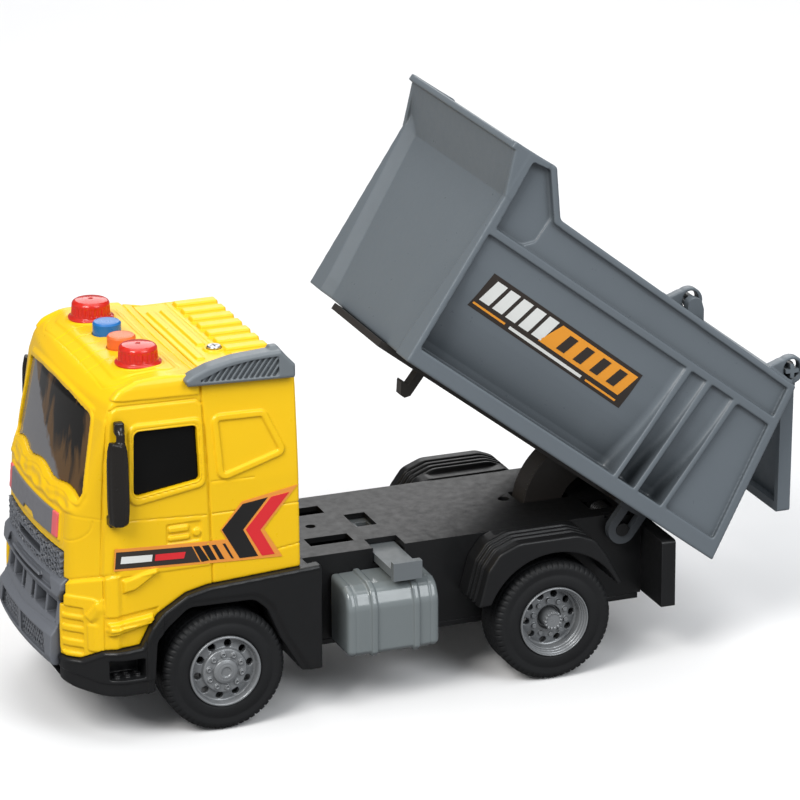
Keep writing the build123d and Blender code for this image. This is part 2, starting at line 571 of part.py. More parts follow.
def bed_body():
    body = prism_x([(BED_FRONT, BED_Z), (front_y(128.8), 128.8), (-17.6, 130.2), (-5.7, 116.9),
                    (102.4, 115.5), (BED_REAR, BED_Z)], -BED_HALF, BED_HALF, {2: 1.6, 3: 2.5})
    body -= load_space()
    # recessed front panel between side flanges
    depth = BED_PANEL_DEPTH
    body -= prism_x([(front_y(50) - 10, 50), (front_y(50) + depth, 50),
                     (front_y(140) + depth, 140), (front_y(140) - 10, 140)], -38.0, 38.0)
    for side in SIDES:
        body -= panel_chamfer(side)
    # canopy with its lip, then its cheeks
    body += prism_x([(front_y(113.4) + depth, 113.0), (-33.4, 126.9), (-35.0, 127.0),
                     (-35.0, 129.3), (-31.4, 129.3), (front_y(114) + depth + 1.9, 113.6)],
                    -43.6, 43.6)
    for side in SIDES:
        body += prism_x([(front_y(113.4), 113.4), (-33.4, 126.9), (-35.0, 127.0),
                         (-35.0, 129.3), (-20, 129.6), (-20, 113.4)],
                        side * 43.2, side * BED_HALF)
    # outside recesses: along the rail, at the front corner, the big scoop, the rear field
    rail = [(-21.6, 103.2), (-24.4, 126.6), (-18.6, 127.4), (-7.4, 114.0), (99.6, 112.7),
            (101.6, 103.0)]
    corner = [(-21.6, 103.2), (-24.4, 126.6), (-18.6, 127.4), (-8.6, 115.2), (-8.6, 106.2)]
    scoop = prism_y([(50, 100.4), (43.7, 100.4), (43.5, 91), (42.6, 82), (41.0, 74),
                     (38.5, 66.5), (36.4, 61.0), (36.0, 58.0), (50, 58.0)],
                    -40, 90, {2: 20, 3: 12, 4: 12, 5: 10})
    scoop &= prism_x([(-20.2, 58.0), (-23.2, 100.4), (85.3, 100.4), (85.3, 58.0)], 30, 60)
    rear_field = prism_x([(87.4, 99.9), (102.0, 99.9), (109.6, 58.4), (87.4, 58.4)],
                         BED_HALF - 1.1, 50)
    ribs = scoop & (block(30, BED_HALF - 0.1, 64.0, 66.0, 57, 101)
                    + block(30, BED_HALF - 0.1, 73.1, 75.1, 57, 101))
    recesses = (prism_x(rail, BED_HALF - 1.3, 50, {3: 2.0})
                + prism_x(corner, BED_HALF - 2.2, 50, {4: 5.0}) + scoop + rear_field)
    body -= recesses
    body -= mirrored(recesses)
    body += ribs
    body += mirrored(ribs)
    # hollow underside
    body -= prism_x([(-17.2, 50), (-17.2, 54.7), (76.0, 54.7), (109.8, 63.9), (112.0, 50)],
                    -35.2, 35.2)
    body -= (block(36.9, 43.6, -19.0, 110.0, 50, 56.4)
             + block(-43.6, -36.9, -19.0, 110.0, 50, 56.4))
    for side in SIDES:
        body += hinge_ring(side)
    body -= rod_x(HINGE_Y, HINGE_Z, HINGE_R + RUN_GAP, -BED_HALF, BED_HALF)
    return largest(body)


def sector(inner_r, outer_r, start, end, x0, x1):
    """Slice of a ring about the bed pivot, between two angles in degrees."""
    steps = 14
    sweep_angle = end - start
    points = [polar(PIVOT_Y, PIVOT_Z, outer_r, start + sweep_angle * i / steps)
              for i in range(steps + 1)]
    points += [polar(PIVOT_Y, PIVOT_Z, inner_r, end - sweep_angle * i / steps)
               for i in range(steps + 1)]
    return prism_x(points, x0, x1)


def pivot_lug(side):
    """Lug open at the top of its bore, so that it goes over a chassis pin."""
    inner, outer = sorted((side * 27.4, side * 30.2))
    bore = PIVOT_R + RUN_GAP
    lug = (block(inner, outer, PIVOT_Y - 5.0, PIVOT_Y + 5.0, PIVOT_Z, 54.6)
           + rod_x(PIVOT_Y, PIVOT_Z, 5.0, inner, outer))
    lug -= block(inner - 1, outer + 1, PIVOT_Y - bore, PIVOT_Y + bore, PIVOT_Z, 50.4)
    lug -= rod_x(PIVOT_Y, PIVOT_Z, bore, inner - 1, outer + 1)
    return lug


def tip_frame():
    """Frame under the bed: tray, pivot lugs, curved sector and hook."""
    frame = (block(-21.5, 21.5, -22.4, 87.8, 50.0, 54.6)
             - block(-19.7, 19.7, -20.6, 86.0, 51.8, 55)
             - block(-30, 30, -30, -17.1, 52.25, 60))
    for y in (18, 40):
        frame += block(-19.8, 19.8, y - 0.8, y + 0.8, 51.7, 54.6)
    frame += block(-30.2, 30.2, 81.0, 87.8, 50.2, 54.6)
    # room for the lift spring
    frame -= block(7.4, 20.8, 80.0, 92.0, 49, 53.0)
    for side in SIDES:
        frame += pivot_lug(side)
    # curved rim between two cheeks
    rim_outer, start, end = 25.3, 157.0, 211.0
    curve = (sector(22.8, rim_outer, start, end, -5.0, 5.0)
             + sector(12.0, rim_outer, start - 6, end, -5.0, -3.6)
             + sector(12.0, rim_outer, start - 6, end, 3.6, 5.0))
    curve -= block(-10, 10, 50, 90, 51.8, 80)
    frame += curve
    # hook with a forward barb
    frame += prism_x([(5.3, 50.5), (8.2, 50.5), (8.2, 41.2), (6.8, 39.6), (5.0, 39.6),
                      (2.5, 43.3), (2.5, 43.9), (5.3, 43.9)], -2.0, 2.0)
    return largest(frame)


# ---------------------------------------------------------------- tailgate
def gate_panel(top_half, bottom_half, top, bottom, y0, y1, rounds=None):
    return prism_y([(-top_half, top), (top_half, top), (bottom_half, bottom),
                    (-bottom_half, bottom)], y0, y1, rounds)


def tailgate():
    """Hangs straight down from the raised hinge."""
    # a small cube carried through the tilt gives the raised hinge
    hinge = raise_bed(Pos(0, HINGE_Y, HINGE_Z) * Box(1, 1, 1)).center()
    y, z = hinge.Y, hinge.Z
    bottom = z - GATE_LENGTH
    gate = gate_panel(37.0, 36.0, z - 6.0, bottom, y - 1.1, y + 3.5, {2: 1.2, 3: 1.2})
    # recesses in the front and rear faces
    gate -= gate_panel(34.4, 33.4, z - 9.0, bottom + 3.0, y - 1.2, y + 1.4)
    gate -= gate_panel(33.8, 32.9, z - 9.6, bottom + 3.6, y + 2.7, y + 5)
    for x in (-17, 0, 17):
        gate += block(x - 1.1, x + 1.1, y + 2.5, y + 3.5, bottom + 3.0, z - 9.0)
    gate += block(-5, 5, y - 2.6, y - 0.9, bottom, bottom + 4.5)
    # arms with cross-shaped pins
    for side in SIDES:
        arm = prism_x([(y - 1.1, z - 7.0), (y - 2.6, z - 1.0), (y - 2.2, z + 2.0),
                       (y + 2.4, z + 2.0), (y + 3.5, z - 2.0), (y + 3.5, z - 7.0)],
                      side * 34.2, side * 37.7, {2: 1.6, 3: 1.6})
        arm += rod_x(y, z, HINGE_R, side * 34.2, side * 37.7)
        x0, x1 = side * 37.6, side * 42.6
        pin = (block(x0, x1, y - 0.7, y + 0.7, z - 4, z + 4)
               + block(x0, x1, y - 4, y + 4, z - 0.7, z + 0.7)) & rod_x(y, z, HINGE_R, x0, x1)
        gate += arm + pin
    return gate


# ---------------------------------------------------------------- wheels (left side)
def tyre(axle_y):
    outer = RIM_X - 0.4
    inner = outer - TYRE_WIDTH
    return turned_x(
        [(inner + 0.6, RIM_R), (inner, RIM_R + 1.2), (inner, TYRE_R - 3.2),
         (inner + 1.4, TYRE_R - 0.7), (inner + 3.2, TYRE_R), (outer - 3.2, TYRE_R),
         (outer - 1.4, TYRE_R - 0.7), (outer, TYRE_R - 3.2), (outer, RIM_R + 1.2),
         (outer - 0.6, RIM_R)], axle_y, TYRE_R)


# (x from the outer rim face, radius)
FRONT_RIM = [
    (-15.0, 10.6), (-15.0, RIM_R), (-0.2, RIM_R), (0, 11.8), (0, 11.4), (-0.5, 11.1),
    (-2.4, 10.9), (-2.6, 10.2), (-2.0, 7.5), (-0.9, 7.2), (-0.7, 7.0), (-0.7, 4.3), (0.1, 4.0),
    (0.5, 3.0), (0.6, 1.7), (0.2, 1.6), (0.2, 0.0), (-5.0, 0.0), (-5.0, AXLE_R),
    (-14.0, AXLE_R), (-14.0, 3.2), (-4.2, 3.6), (-4.2, 10.4)]
REAR_RIM = [
    (-15.0, 10.6), (-15.0, RIM_R), (-0.2, RIM_R), (0, 11.8), (0, 11.5), (-0.9, 11.3),
    (-0.9, 11.0), (-1.9, 10.9), (-1.9, 10.6), (-3.0, 10.5), (-3.0, 10.2), (-5.6, 10.0),
    (-6.0, 9.4), (-5.2, 6.8), (-5.0, 4.2), (-6.8, 4.1), (-6.8, 3.2), (-1.6, 2.9), (-1.2, 2.6),
    (-1.2, 0.0), (-7.0, 0.0), (-7.0, AXLE_R), (-14.6, AXLE_R), (-14.6, 3.4), (-8.4, 3.6),
    (-8.0, 9.6)]


def rim_blank(profile, axle_y):
    return turned_x([(RIM_X + x, radius) for x, radius in profile], axle_y, TYRE_R)


def rim_rod(axle_y, circle_r, degrees, radius, x0, x1):
    """Rod off the wheel's axis; x0 and x1 count from the outer rim face."""
    return rod_x(*polar(axle_y, TYRE_R, circle_r, degrees), radius, RIM_X + x0, RIM_X + x1)


def front_rim():
    """Ring of holes round a ring of hollow studs."""
    rim = rim_blank(FRONT_RIM, FRONT_AXLE_Y)
    for i in range(10):
        rim -= rim_rod(FRONT_AXLE_Y, 8.9, 36 * i + 8, 1.2, -6, 1)
        rim += rim_rod(FRONT_AXLE_Y, 5.7, 36 * i + 24, 0.85, -1.0, -0.1)
        rim -= rim_rod(FRONT_AXLE_Y, 5.7, 36 * i + 24, 0.45, -0.4, 1)
    return rim


def rear_rim():
    """Ring of holes, ring of studs, and small studs round the hub."""
    rim = rim_blank(REAR_RIM, REAR_AXLE_Y)
    for i in range(10):
        rim -= rim_rod(REAR_AXLE_Y, 8.1, 36 * i + 4, 1.15, -9, -3)
        rim += rim_rod(REAR_AXLE_Y, 5.9, 36 * i + 22, 0.75, -6.0, -4.2)
    for i in range(14):
        rim += rim_rod(REAR_AXLE_Y, 2.75, 360 / 14 * i, 0.42, -2.6, -0.9)
    return rim


def axle(axle_y, depth):
    """Axle whose ends lie below the rim faces by depth."""
    return rod_x(axle_y, TYRE_R, AXLE_R, -(RIM_X - depth), RIM_X - depth)


# ---------------------------------------------------------------- friction drive
GEAR_MODULE = 0.6
BACKLASH = 0.10
AXLE_TEETH, PINION_TEETH, WHEEL_TEETH, FLYWHEEL_TEETH = 28, 10, 26, 10
# directions of the centre lines: axle to compound gear, compound gear to flywheel shaft
FIRST_ANGLE, SECOND_ANGLE = 150, 158
SHAFT_R = 1.0
SHAFT_END = 12.6
COMPOUND = polar(REAR_AXLE_Y, TYRE_R, GEAR_MODULE * (AXLE_TEETH + PINION_TEETH) / 2, FIRST_ANGLE)
FLYWHEEL = polar(*COMPOUND, GEAR_MODULE * (WHEEL_TEETH + FLYWHEEL_TEETH) / 2, SECOND_ANGLE)


def mesh_phase(teeth, phase, mate_teeth, degrees):
    """Phase of the mate so that its gap faces a tooth along the centre line."""
    angle, pitch = math.radians(degrees), 2 * math.pi / teeth
    offset = (angle - phase) - round((angle - phase) / pitch) * pitch
    return angle + math.pi + offset * teeth / mate_teeth + math.pi / mate_teeth


AXLE_PHASE = 0.0
PINION_PHASE = mesh_phase(AXLE_TEETH, AXLE_PHASE, PINION_TEETH, FIRST_ANGLE)
WHEEL_PHASE = 0.05
FLYWHEEL_PHASE = mesh_phase(WHEEL_TEETH, WHEEL_PHASE, FLYWHEEL_TEETH, SECOND_ANGLE)


def gear(teeth, x0, x1, centre, phase):
    """Spur gear along X with involute flanks; its root lies inside the base circle."""
    pitch_r = GEAR_MODULE * teeth / 2
    tip_r, root_r = pitch_r + 0.9 * GEAR_MODULE, pitch_r - 1.2 * GEAR_MODULE
    pressure = math.radians(20)
    base_r = pitch_r * math.cos(pressure)
    half_tooth = (math.pi / (2 * teeth) - BACKLASH / (2 * pitch_r)
                  + math.tan(pressure) - pressure)
    steps = 6
    flank = []                      # (radius, angle from the tooth's centre line)
    for i in range(steps + 1):
        radius = base_r + (tip_r - base_r) * i / steps
        roll = math.acos(base_r / radius) if i else 0.0
        flank.append((radius, half_tooth - (math.tan(roll) - roll)))
    flank.insert(0, (root_r, half_tooth))
    tooth = [(radius, -angle) for radius, angle in flank] + flank[::-1]
    y, z = centre
    points = []
    for k in range(teeth):
        middle = phase + 2 * math.pi * k / teeth
        points += [(y + radius * math.cos(middle + angle), z + radius * math.sin(middle + angle))
                   for radius, angle in tooth]
    return prism_x(points, x0, x1)


def axle_gear():
    centre = (REAR_AXLE_Y, TYRE_R)
    return gear(AXLE_TEETH, 2.0, 5.2, centre, AXLE_PHASE) - rod_x(*centre, AXLE_R, 1.0, 6.2)


def compound_gear():
    cluster = (gear(PINION_TEETH, 1.4, 5.8, COMPOUND, PINION_PHASE)
               + gear(WHEEL_TEETH, -2.2, 1.0, COMPOUND, WHEEL_PHASE))
    cluster += (rod_x(*COMPOUND, 2.0, 0.8, 1.6)
                + rod_x(*COMPOUND, SHAFT_R, -SHAFT_END, SHAFT_END))
    return cluster


def flywheel_shaft():
    return (gear(FLYWHEEL_TEETH, -2.6, 1.4, FLYWHEEL, FLYWHEEL_PHASE)
            + rod_x(*FLYWHEEL, SHAFT_R, -SHAFT_END, SHAFT_END))


def flywheel(x0, x1):
    return rod_x(*FLYWHEEL, 9.0, x0, x1) - rod_x(*FLYWHEEL, SHAFT_R, x0 - 1, x1 + 1)


def gearbox_case(side):
    (mid_y, mid_z), (fly_y, fly_z) = COMPOUND, FLYWHEEL
    # (y, z)
    outer = [(fly_y - 11.6, 14.2), (fly_y - 11.6, fly_z + 6.0), (fly_y - 6.0, fly_z + 11.0),
             (fly_y + 7.0, fly_z + 11.0), (mid_y + 8.5, mid_z + 7.4), (60.5, 31.2),
             (66.5, 28.0), (69.4, 22.0), (69.4, 14.2)]
    inner = [(fly_y - 10.2, 15.4), (fly_y - 10.2, fly_z + 5.2), (fly_y - 5.4, fly_z + 9.6),
             (fly_y + 6.4, fly_z + 9.6), (mid_y + 8.6, mid_z + 5.2), (60.0, 30.6),
             (65.4, 27.4), (68.0, 21.8), (68.0, 15.4)]
    case = prism_x(outer, side * 0.05, side * 13.4)
    # the left half bulges round the large gear on the rear axle
    if side > 0:
        case += rod_x(REAR_AXLE_Y, TYRE_R, 10.4, 0.05, 7.6)
    case -= prism_x(inner, 0.0, side * 12.0)
    if side > 0:
        case -= rod_x(REAR_AXLE_Y, TYRE_R, 9.3, -0.1, 6.3)
    case -= rod_x(REAR_AXLE_Y, TYRE_R, AXLE_R + RUN_GAP, -20, 20)
    for centre in (COMPOUND, FLYWHEEL):
        case -= rod_x(*centre, SHAFT_R + RUN_GAP, -SHAFT_END - 0.2, SHAFT_END + 0.2)
    return case


# ---------------------------------------------------------------- sound and light unit
BOARD_TOP = 114.2


def circuit_board():
    return (block(-31, 31, -88.0, -66.0, 113.0, BOARD_TOP)
            - rod_z(-28, -85, 1.2, 110, 118) - rod_z(28, -85, 1.2, 110, 118))


def tact_switch(side):
    x, y = side * BUTTON_X, BEACON_Y
    return block(x - 3, x + 3, y - 3, y + 3, BOARD_TOP, 116.0) + rod_z(x, y, 1.6, 116.0, 116.6)


def lamp(side):
    x = side * BEACON_X
    return (rod_z(x, BEACON_Y, 1.5, BOARD_TOP, 121.6)
            + Pos(x, BEACON_Y, 121.6) * Sphere(1.5))


def button(side):
    return turned_z(
        [(0, 117.9), (BUTTON_R + 1.1, 117.9), (BUTTON_R + 1.1, 118.35), (BUTTON_R, 118.35),
         (BUTTON_R, ROOF_Z + 3.4), (BUTTON_R - 0.5, ROOF_Z + 3.95),
         (BUTTON_R - 1.4, ROOF_Z + 4.1), (0, ROOF_Z + 4.2)], side * BUTTON_X, BEACON_Y)


def beacon(side):
    # (radius, height above the roof)
    above = [(4.9, 0), (7.5, 0), (7.5, 0.7), (6.4, 1.2), (6.15, 4.6), (5.6, 5.8), (4.2, 6.3),
             (0, 6.5), (0, 5.2), (3.9, 5.0), (4.5, 4.2), (4.5, 1.5), (4.0, 1.0)]
    points = [(4.9, 119.5)] + [(radius, ROOF_Z + z) for radius, z in above] + [(4.0, 119.5)]
    return turned_z(points, side * BEACON_X, BEACON_Y)


def speaker():
    return turned_z([(0, 84.0), (13.5, 84.0), (13.5, 86.0), (10, 88.0), (6, 88.0), (6, 92.0),
                     (0, 92.0)], 0, SPEAKER_Y)


def speaker_bracket():
    shelf = block(-16, 16, -66, -34, 81.9, 84.0) - rod_z(0, SPEAKER_Y, 11.5, 80, 90)
    return (shelf + block(-16, -14, -66, -38, 48.3, 82)
            + block(14, 16, -66, -38, 48.3, 82))


def battery_holder():
    holder = block(-35.0, 7.0, -52.0, -37.0, 103.6, 112.9)
    for x in CELLS_X:
        holder -= rod_z(x, CELL_Y, CELL_R + 0.1, 104.9, 120)
    return holder


def roof_screw():
    screw = rod_z(*ROOF_SCREW, 1.14, 108.0, 118.2) + rod_z(*ROOF_SCREW, 2.4, 118.2, 120.2)
    top_edge = screw.edges().filter_by(GeomType.CIRCLE).sort_by(Axis.Z)[-1]
    screw = fillet(top_edge, 0.6)
    return screw - cross_slot(*ROOF_SCREW, 1.4, 0.25, 119.4, 121)


# ---------------------------------------------------------------- parts and export
parts = {
    "cab_shell": cab_shell(),
    "windscreen": windscreen(),
    "battery_door": battery_door(),
    "fairing_left": fairing(),
    "grille": grille(),
    "cab_base": cab_base(),
    "cab_screws": join([cab_screw(side) for side in SIDES]),
    "chassis_deck": chassis_deck(),
    "rear_panel": rear_panel(),
    "underplate": underplate(),
    "chassis_screws": join([chassis_screw(x, y) for x, y in CHASSIS_SCREWS]),
    "release_lever": release_lever(),
    "lever_spring": spring(-21.1, 5.5, 42.0, radius=1.6, pitch=0.86, length=5.2, wire_r=0.3),
    "lift_spring": spring(9.6, PIVOT_Y, PIVOT_Z, radius=3.0, pitch=1.25, length=8.8,
                          wire_r=0.45),
    "bed_body": raise_bed(bed_body()),
    "tip_frame": raise_bed(tip_frame()),
    "tailgate": tailgate(),
    "front_axle": axle(FRONT_AXLE_Y, 5.1),
    "rear_axle": axle(REAR_AXLE_Y, 7.1),
    "axle_gear": axle_gear(),
    "compound_gear": compound_gear(),
    "flywheel_shaft": flywheel_shaft(),
    "flywheels": join([flywheel(6.6, 10.6), flywheel(-9.6, -5.6)]),
    "gearbox_case_left": gearbox_case(1),
    "gearbox_case_right": gearbox_case(-1),
    "circuit_board": circuit_board(),
    "tact_switches": join([tact_switch(side) for side in SIDES]),
    "lamps": join([lamp(side) for side in SIDES]),
    "button_orange": button(1),
    "button_blue": button(-1),
    "beacon_left": beacon(1),
    "beacon_right": beacon(-1),
    "speaker": speaker(),
    "speaker_bracket": speaker_bracket(),
    "battery_cells": join([rod_z(x, CELL_Y, CELL_R, 105.0, 110.4) for x in CELLS_X]),
    "battery_holder": battery_holder(),
    "roof_screw": roof_screw(),
}
# built on the left and mirrored to the right
pairs = {
    "side_window": side_window(),
    "rear_fender": rear_fender(),
    "fuel_tank": fuel_tank(),
    "front_tyre": tyre(FRONT_AXLE_Y),
    "rear_tyre": tyre(REAR_AXLE_Y),
    "front_rim": front_rim(),
    "rear_rim": rear_rim(),
    "mirror": door_mirror(),
}
for name, shape in pairs.items():
    parts[name + "_left"] = shape
    parts[name + "_right"] = mirrored(shape)

os.makedirs("parts", exist_ok=True)
for name, shape in parts.items():
    solids = (Pos(0, EXPORT_SHIFT_Y, 0) * shape).solids()
    result = solids[0] if len(solids) == 1 else Compound(children=list(solids))
    export_step(result, "parts/" + name + ".step")
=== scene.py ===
"""Toy dump truck with its bed raised.

It stands on z = 0 with its front towards -Y and its left side towards +X. Sizes are in
millimetres and become metres when a mesh is made. The script's y is Y_SHIFT from the shared frame.
Moulded parts are distance fields (negative inside) sampled on a grid and turned into meshes.
"""
import json
import math
import random
from functools import reduce

import bmesh
import bpy
import numpy as np
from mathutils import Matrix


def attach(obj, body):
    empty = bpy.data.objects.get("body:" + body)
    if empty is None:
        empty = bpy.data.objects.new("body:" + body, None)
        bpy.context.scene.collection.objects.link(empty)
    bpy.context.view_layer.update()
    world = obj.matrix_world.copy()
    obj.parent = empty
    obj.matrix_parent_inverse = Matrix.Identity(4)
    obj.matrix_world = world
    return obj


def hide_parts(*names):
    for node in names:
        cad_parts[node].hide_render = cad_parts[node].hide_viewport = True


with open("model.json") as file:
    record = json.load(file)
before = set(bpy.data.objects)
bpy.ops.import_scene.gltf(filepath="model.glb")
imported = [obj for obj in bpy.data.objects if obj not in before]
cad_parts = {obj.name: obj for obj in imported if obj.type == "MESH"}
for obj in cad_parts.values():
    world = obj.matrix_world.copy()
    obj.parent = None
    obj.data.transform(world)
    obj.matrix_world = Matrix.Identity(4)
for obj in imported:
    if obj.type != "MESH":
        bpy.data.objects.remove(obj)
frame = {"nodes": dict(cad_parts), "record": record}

import openvdb as vdb
from mathutils import Matrix, Vector
from mathutils.bvhtree import BVHTree
from mathutils.geometry import delaunay_2d_cdt

random.seed(7)
nodes = frame["nodes"]
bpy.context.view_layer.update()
scene = bpy.context.scene

MM = 0.001
Y_SHIFT = -17.6
TAU = math.tau

CAMERA_AZIMUTH = math.radians(68.91)
CAMERA_ELEVATION = math.radians(19.09)
CAMERA_ROLL = math.radians(-0.25)
CAMERA_DISTANCE = 1484.47
CAMERA_TARGET = (0.03, 20.11, 88.27)
CAMERA_LENS = 202.5117

# Cab: its front is swept about a vertical axis at BOW_Y
BOW_Y = 110.0
CAB_REAR = -30.3
CAB_WALL = 1.6
SIDE_RELIEF_GAIN = 1.35
DOOR_RAISE = 0.22
BEACON_X, BEACON_Y, BEACON_BASE_Z = 24.75, -77.85, 121.4

# Bed, in its lowered position, and the pivot it is raised about
PIVOT_Y, PIVOT_Z, TILT = 87.4, 43.7, math.radians(37.5)
BED_HALF, BED_BOTTOM, BED_FRONT, BED_REAR = 45.1, 52.3, -23.0, 114.0
BED_LEAN, BED_LEAN_RISE = -5.4, 76.5
HINGE_Y, HINGE_Z, HINGE_RADIUS = 99.2, 119.0, 2.4

# Wheels
TYRE_RADIUS, TYRE_WIDTH, RIM_RADIUS = 20.5, 15.6, 12.0
RIM_FACE_X = 44.6
TYRE_OUTER_X = RIM_FACE_X - 0.4
FRONT_AXLE_Y, REAR_AXLE_Y = -57.2, 57.2


def by_quality(full):
    return full


# ------------------------------------------------------------------ camera
def make_camera():
    azimuth, elevation = CAMERA_AZIMUTH, CAMERA_ELEVATION
    back = Vector((math.sin(azimuth) * math.cos(elevation),
                   -math.cos(azimuth) * math.cos(elevation), math.sin(elevation)))
    right = Vector((math.cos(azimuth), math.sin(azimuth), 0))
    up = back.cross(right)
    rolled_right = right * math.cos(CAMERA_ROLL) + up * math.sin(CAMERA_ROLL)
    rolled_up = up * math.cos(CAMERA_ROLL) - right * math.sin(CAMERA_ROLL)
    camera = bpy.data.objects.new("camera", bpy.data.cameras.new("camera"))
    scene.collection.objects.link(camera)
    pose = Matrix((rolled_right, rolled_up, back)).transposed().to_4x4()
    x, y, z = CAMERA_TARGET
    pose.translation = Vector((x * MM, (y + Y_SHIFT) * MM, z * MM)) + back * CAMERA_DISTANCE * MM
    camera.matrix_world = pose
    camera.data.sensor_width = 36.0
    camera.data.lens = CAMERA_LENS
    camera.data.clip_end = 20
    scene.camera = camera


make_camera()
scene.view_settings.view_transform = "Standard"
scene.view_settings.look = "None"

# ------------------------------------------------------------------ materials
# Sockets of a Mix node in colour mode; their labels repeat, so they are found by number
MIX_A, MIX_B, MIX_RESULT = 6, 7, 2


def rgba(colour):
    return (*colour, 1.0)


class Shader:
    """Adds linked nodes to one material; an input may be a value or another node's socket."""

    def __init__(self, material):
        material.use_nodes = True
        self.tree = material.node_tree

    def add(self, kind, inputs, **settings):
        node = self.tree.nodes.new("ShaderNode" + kind)
        for key, value in settings.items():
            setattr(node, key, value)
        for key, value in inputs.items():
            if isinstance(value, bpy.types.NodeSocket):
                self.tree.links.new(value, node.inputs[key])
            else:
                node.inputs[key].default_value = value
        return node

    def position(self):
        return self.add("TexCoord", {}).outputs["Object"]

    def noise(self, vector, **inputs):
        return self.add("TexNoise", {"Vector": vector, **inputs}).outputs["Fac"]

    def math(self, operation, *operands):
        return self.add("Math", dict(enumerate(operands)), operation=operation).outputs[0]

    def remap(self, value, start, end, to_start=0.0, to_end=1.0):
        return self.add("MapRange", {"Value": value, "From Min": start, "From Max": end,
                                     "To Min": to_start, "To Max": to_end}).outputs["Result"]

    def mix(self, factor, first, second):
        """Blend of two colours, each a colour socket or an rgb triple."""
        first, second = (c if isinstance(c, bpy.types.NodeSocket) else rgba(c)
                         for c in (first, second))
        inputs = {"Factor": factor, MIX_A: first, MIX_B: second}
        return self.add("Mix", inputs, data_type="RGBA").outputs[MIX_RESULT]

    def axes(self, vector):
        return self.add("SeparateXYZ", {"Vector": vector}).outputs


def new_material(name):
    material = bpy.data.materials.new(name)
    shader = Shader(material)
    shader.tree.nodes.clear()
    return material, shader


def surface(name, colour, rough=0.35, drift=0.05, grain=0.012, grain_scale=3200, rough_drift=0.07,
            wear=0.10, wear_colour=None, metallic=0.0, specular=0.5, coat=0.0, scatter=0.0,
            scatter_scale=0.002, wobble=0.0, transmission=0.0, emission=0.0, occlusion=0.0,
            occlusion_reach=0.004):
    """Moulded or metal surface.

    drift and rough_drift are slow changes of colour and gloss; grain and wobble are the depths
    in mm of fine and broad bumps; wear lightens edges; occlusion is painted shade, darkening
    the colour in recesses up to occlusion_reach metres wide.
    """
    drift_scale = 45
    material, shader = new_material(name)
    position = shader.position()
    slow = shader.noise(position, Scale=drift_scale, Detail=4.0, Roughness=0.6)
    fine = shader.noise(position, Scale=grain_scale, Detail=2.0, Roughness=0.55)
    patchy = shader.noise(position, Scale=drift_scale * 7.3, Detail=5.0, Roughness=0.65)
    dark = tuple(max(0, channel * (1 - drift)) for channel in colour)
    light = tuple(min(1, channel * (1 + drift) + 0.002) for channel in colour)
    shade = shader.mix(slow, dark, light)
    # worn edges: where the bevelled normal leaves the true one
    true_normal = shader.add("NewGeometry", {}).outputs["Normal"]
    bevelled = shader.add("Bevel", {"Radius": 0.00035}, samples=3).outputs["Normal"]
    agreement = shader.add("VectorMath", {0: bevelled, 1: true_normal}, operation="DOT_PRODUCT")
    edge = shader.remap(agreement.outputs["Value"], start=0.985, end=0.85)
    broken = shader.remap(patchy, start=0.38, end=0.66, to_end=wear)
    edge_wear = shader.math("MULTIPLY", edge, broken)
    worn = wear_colour or tuple(min(1, channel * 1.25 + 0.05) for channel in colour)
    shade = shader.mix(edge_wear, shade, worn)
    # painted shade: ambient occlusion darkens the base colour in recesses
    if occlusion > 0:
        open_sky = shader.add("AmbientOcclusion", {"Distance": occlusion_reach}, samples=6)
        painted_recess_shade = shader.remap(open_sky.outputs["AO"], start=0.25, end=0.95,
                              to_start=occlusion, to_end=0.0)
        shade = shader.mix(painted_recess_shade, shade, tuple(channel * 0.12 for channel in colour))
    gloss = shader.remap(patchy, start=0.3, end=0.7, to_start=max(0.02, rough - rough_drift),
                         to_end=min(1, rough + rough_drift))
    bump = shader.add("Bump", {"Strength": 0.5, "Distance": grain * MM, "Height": fine})
    if wobble > 0:
        broad = shader.noise(position, Scale=55.0, Detail=1.0)
        bump = shader.add("Bump", {"Strength": 0.4, "Distance": wobble * MM, "Height": broad,
                                   "Normal": bump.outputs[0]})
    inputs = {"Base Color": shade, "Roughness": gloss, "Metallic": metallic, "IOR": 1.46,
              "Specular IOR Level": specular, "Normal": bump.outputs[0], "Coat Weight": coat,
              "Coat Roughness": 0.12, "Transmission Weight": transmission}
    if emission > 0:
        inputs["Emission Color"] = rgba(colour)
        inputs["Emission Strength"] = emission
    if scatter > 0:
        inputs["Subsurface Weight"] = scatter
        inputs["Subsurface Radius"] = (1.0, 0.7, 0.3)
        inputs["Subsurface Scale"] = scatter_scale
    principled = shader.add("BsdfPrincipled", inputs)
    shader.add("OutputMaterial", {"Surface": principled.outputs["BSDF"]})
    material.diffuse_color = rgba(colour)
    return material


GLOSSY = dict(rough=0.06, drift=0.2, grain=0.0005, wear=0.1, rough_drift=0.02)
DARK_FRAME = dict(colour=(0.030, 0.027, 0.025), rough=0.36, grain=0.008, wear=0.4,
                  wear_colour=(0.14, 0.13, 0.13), specular=0.4)
FILM = dict(rough=0.24, drift=0.04, grain=0.001, rough_drift=0.03, wear=0.05, specular=0.35)
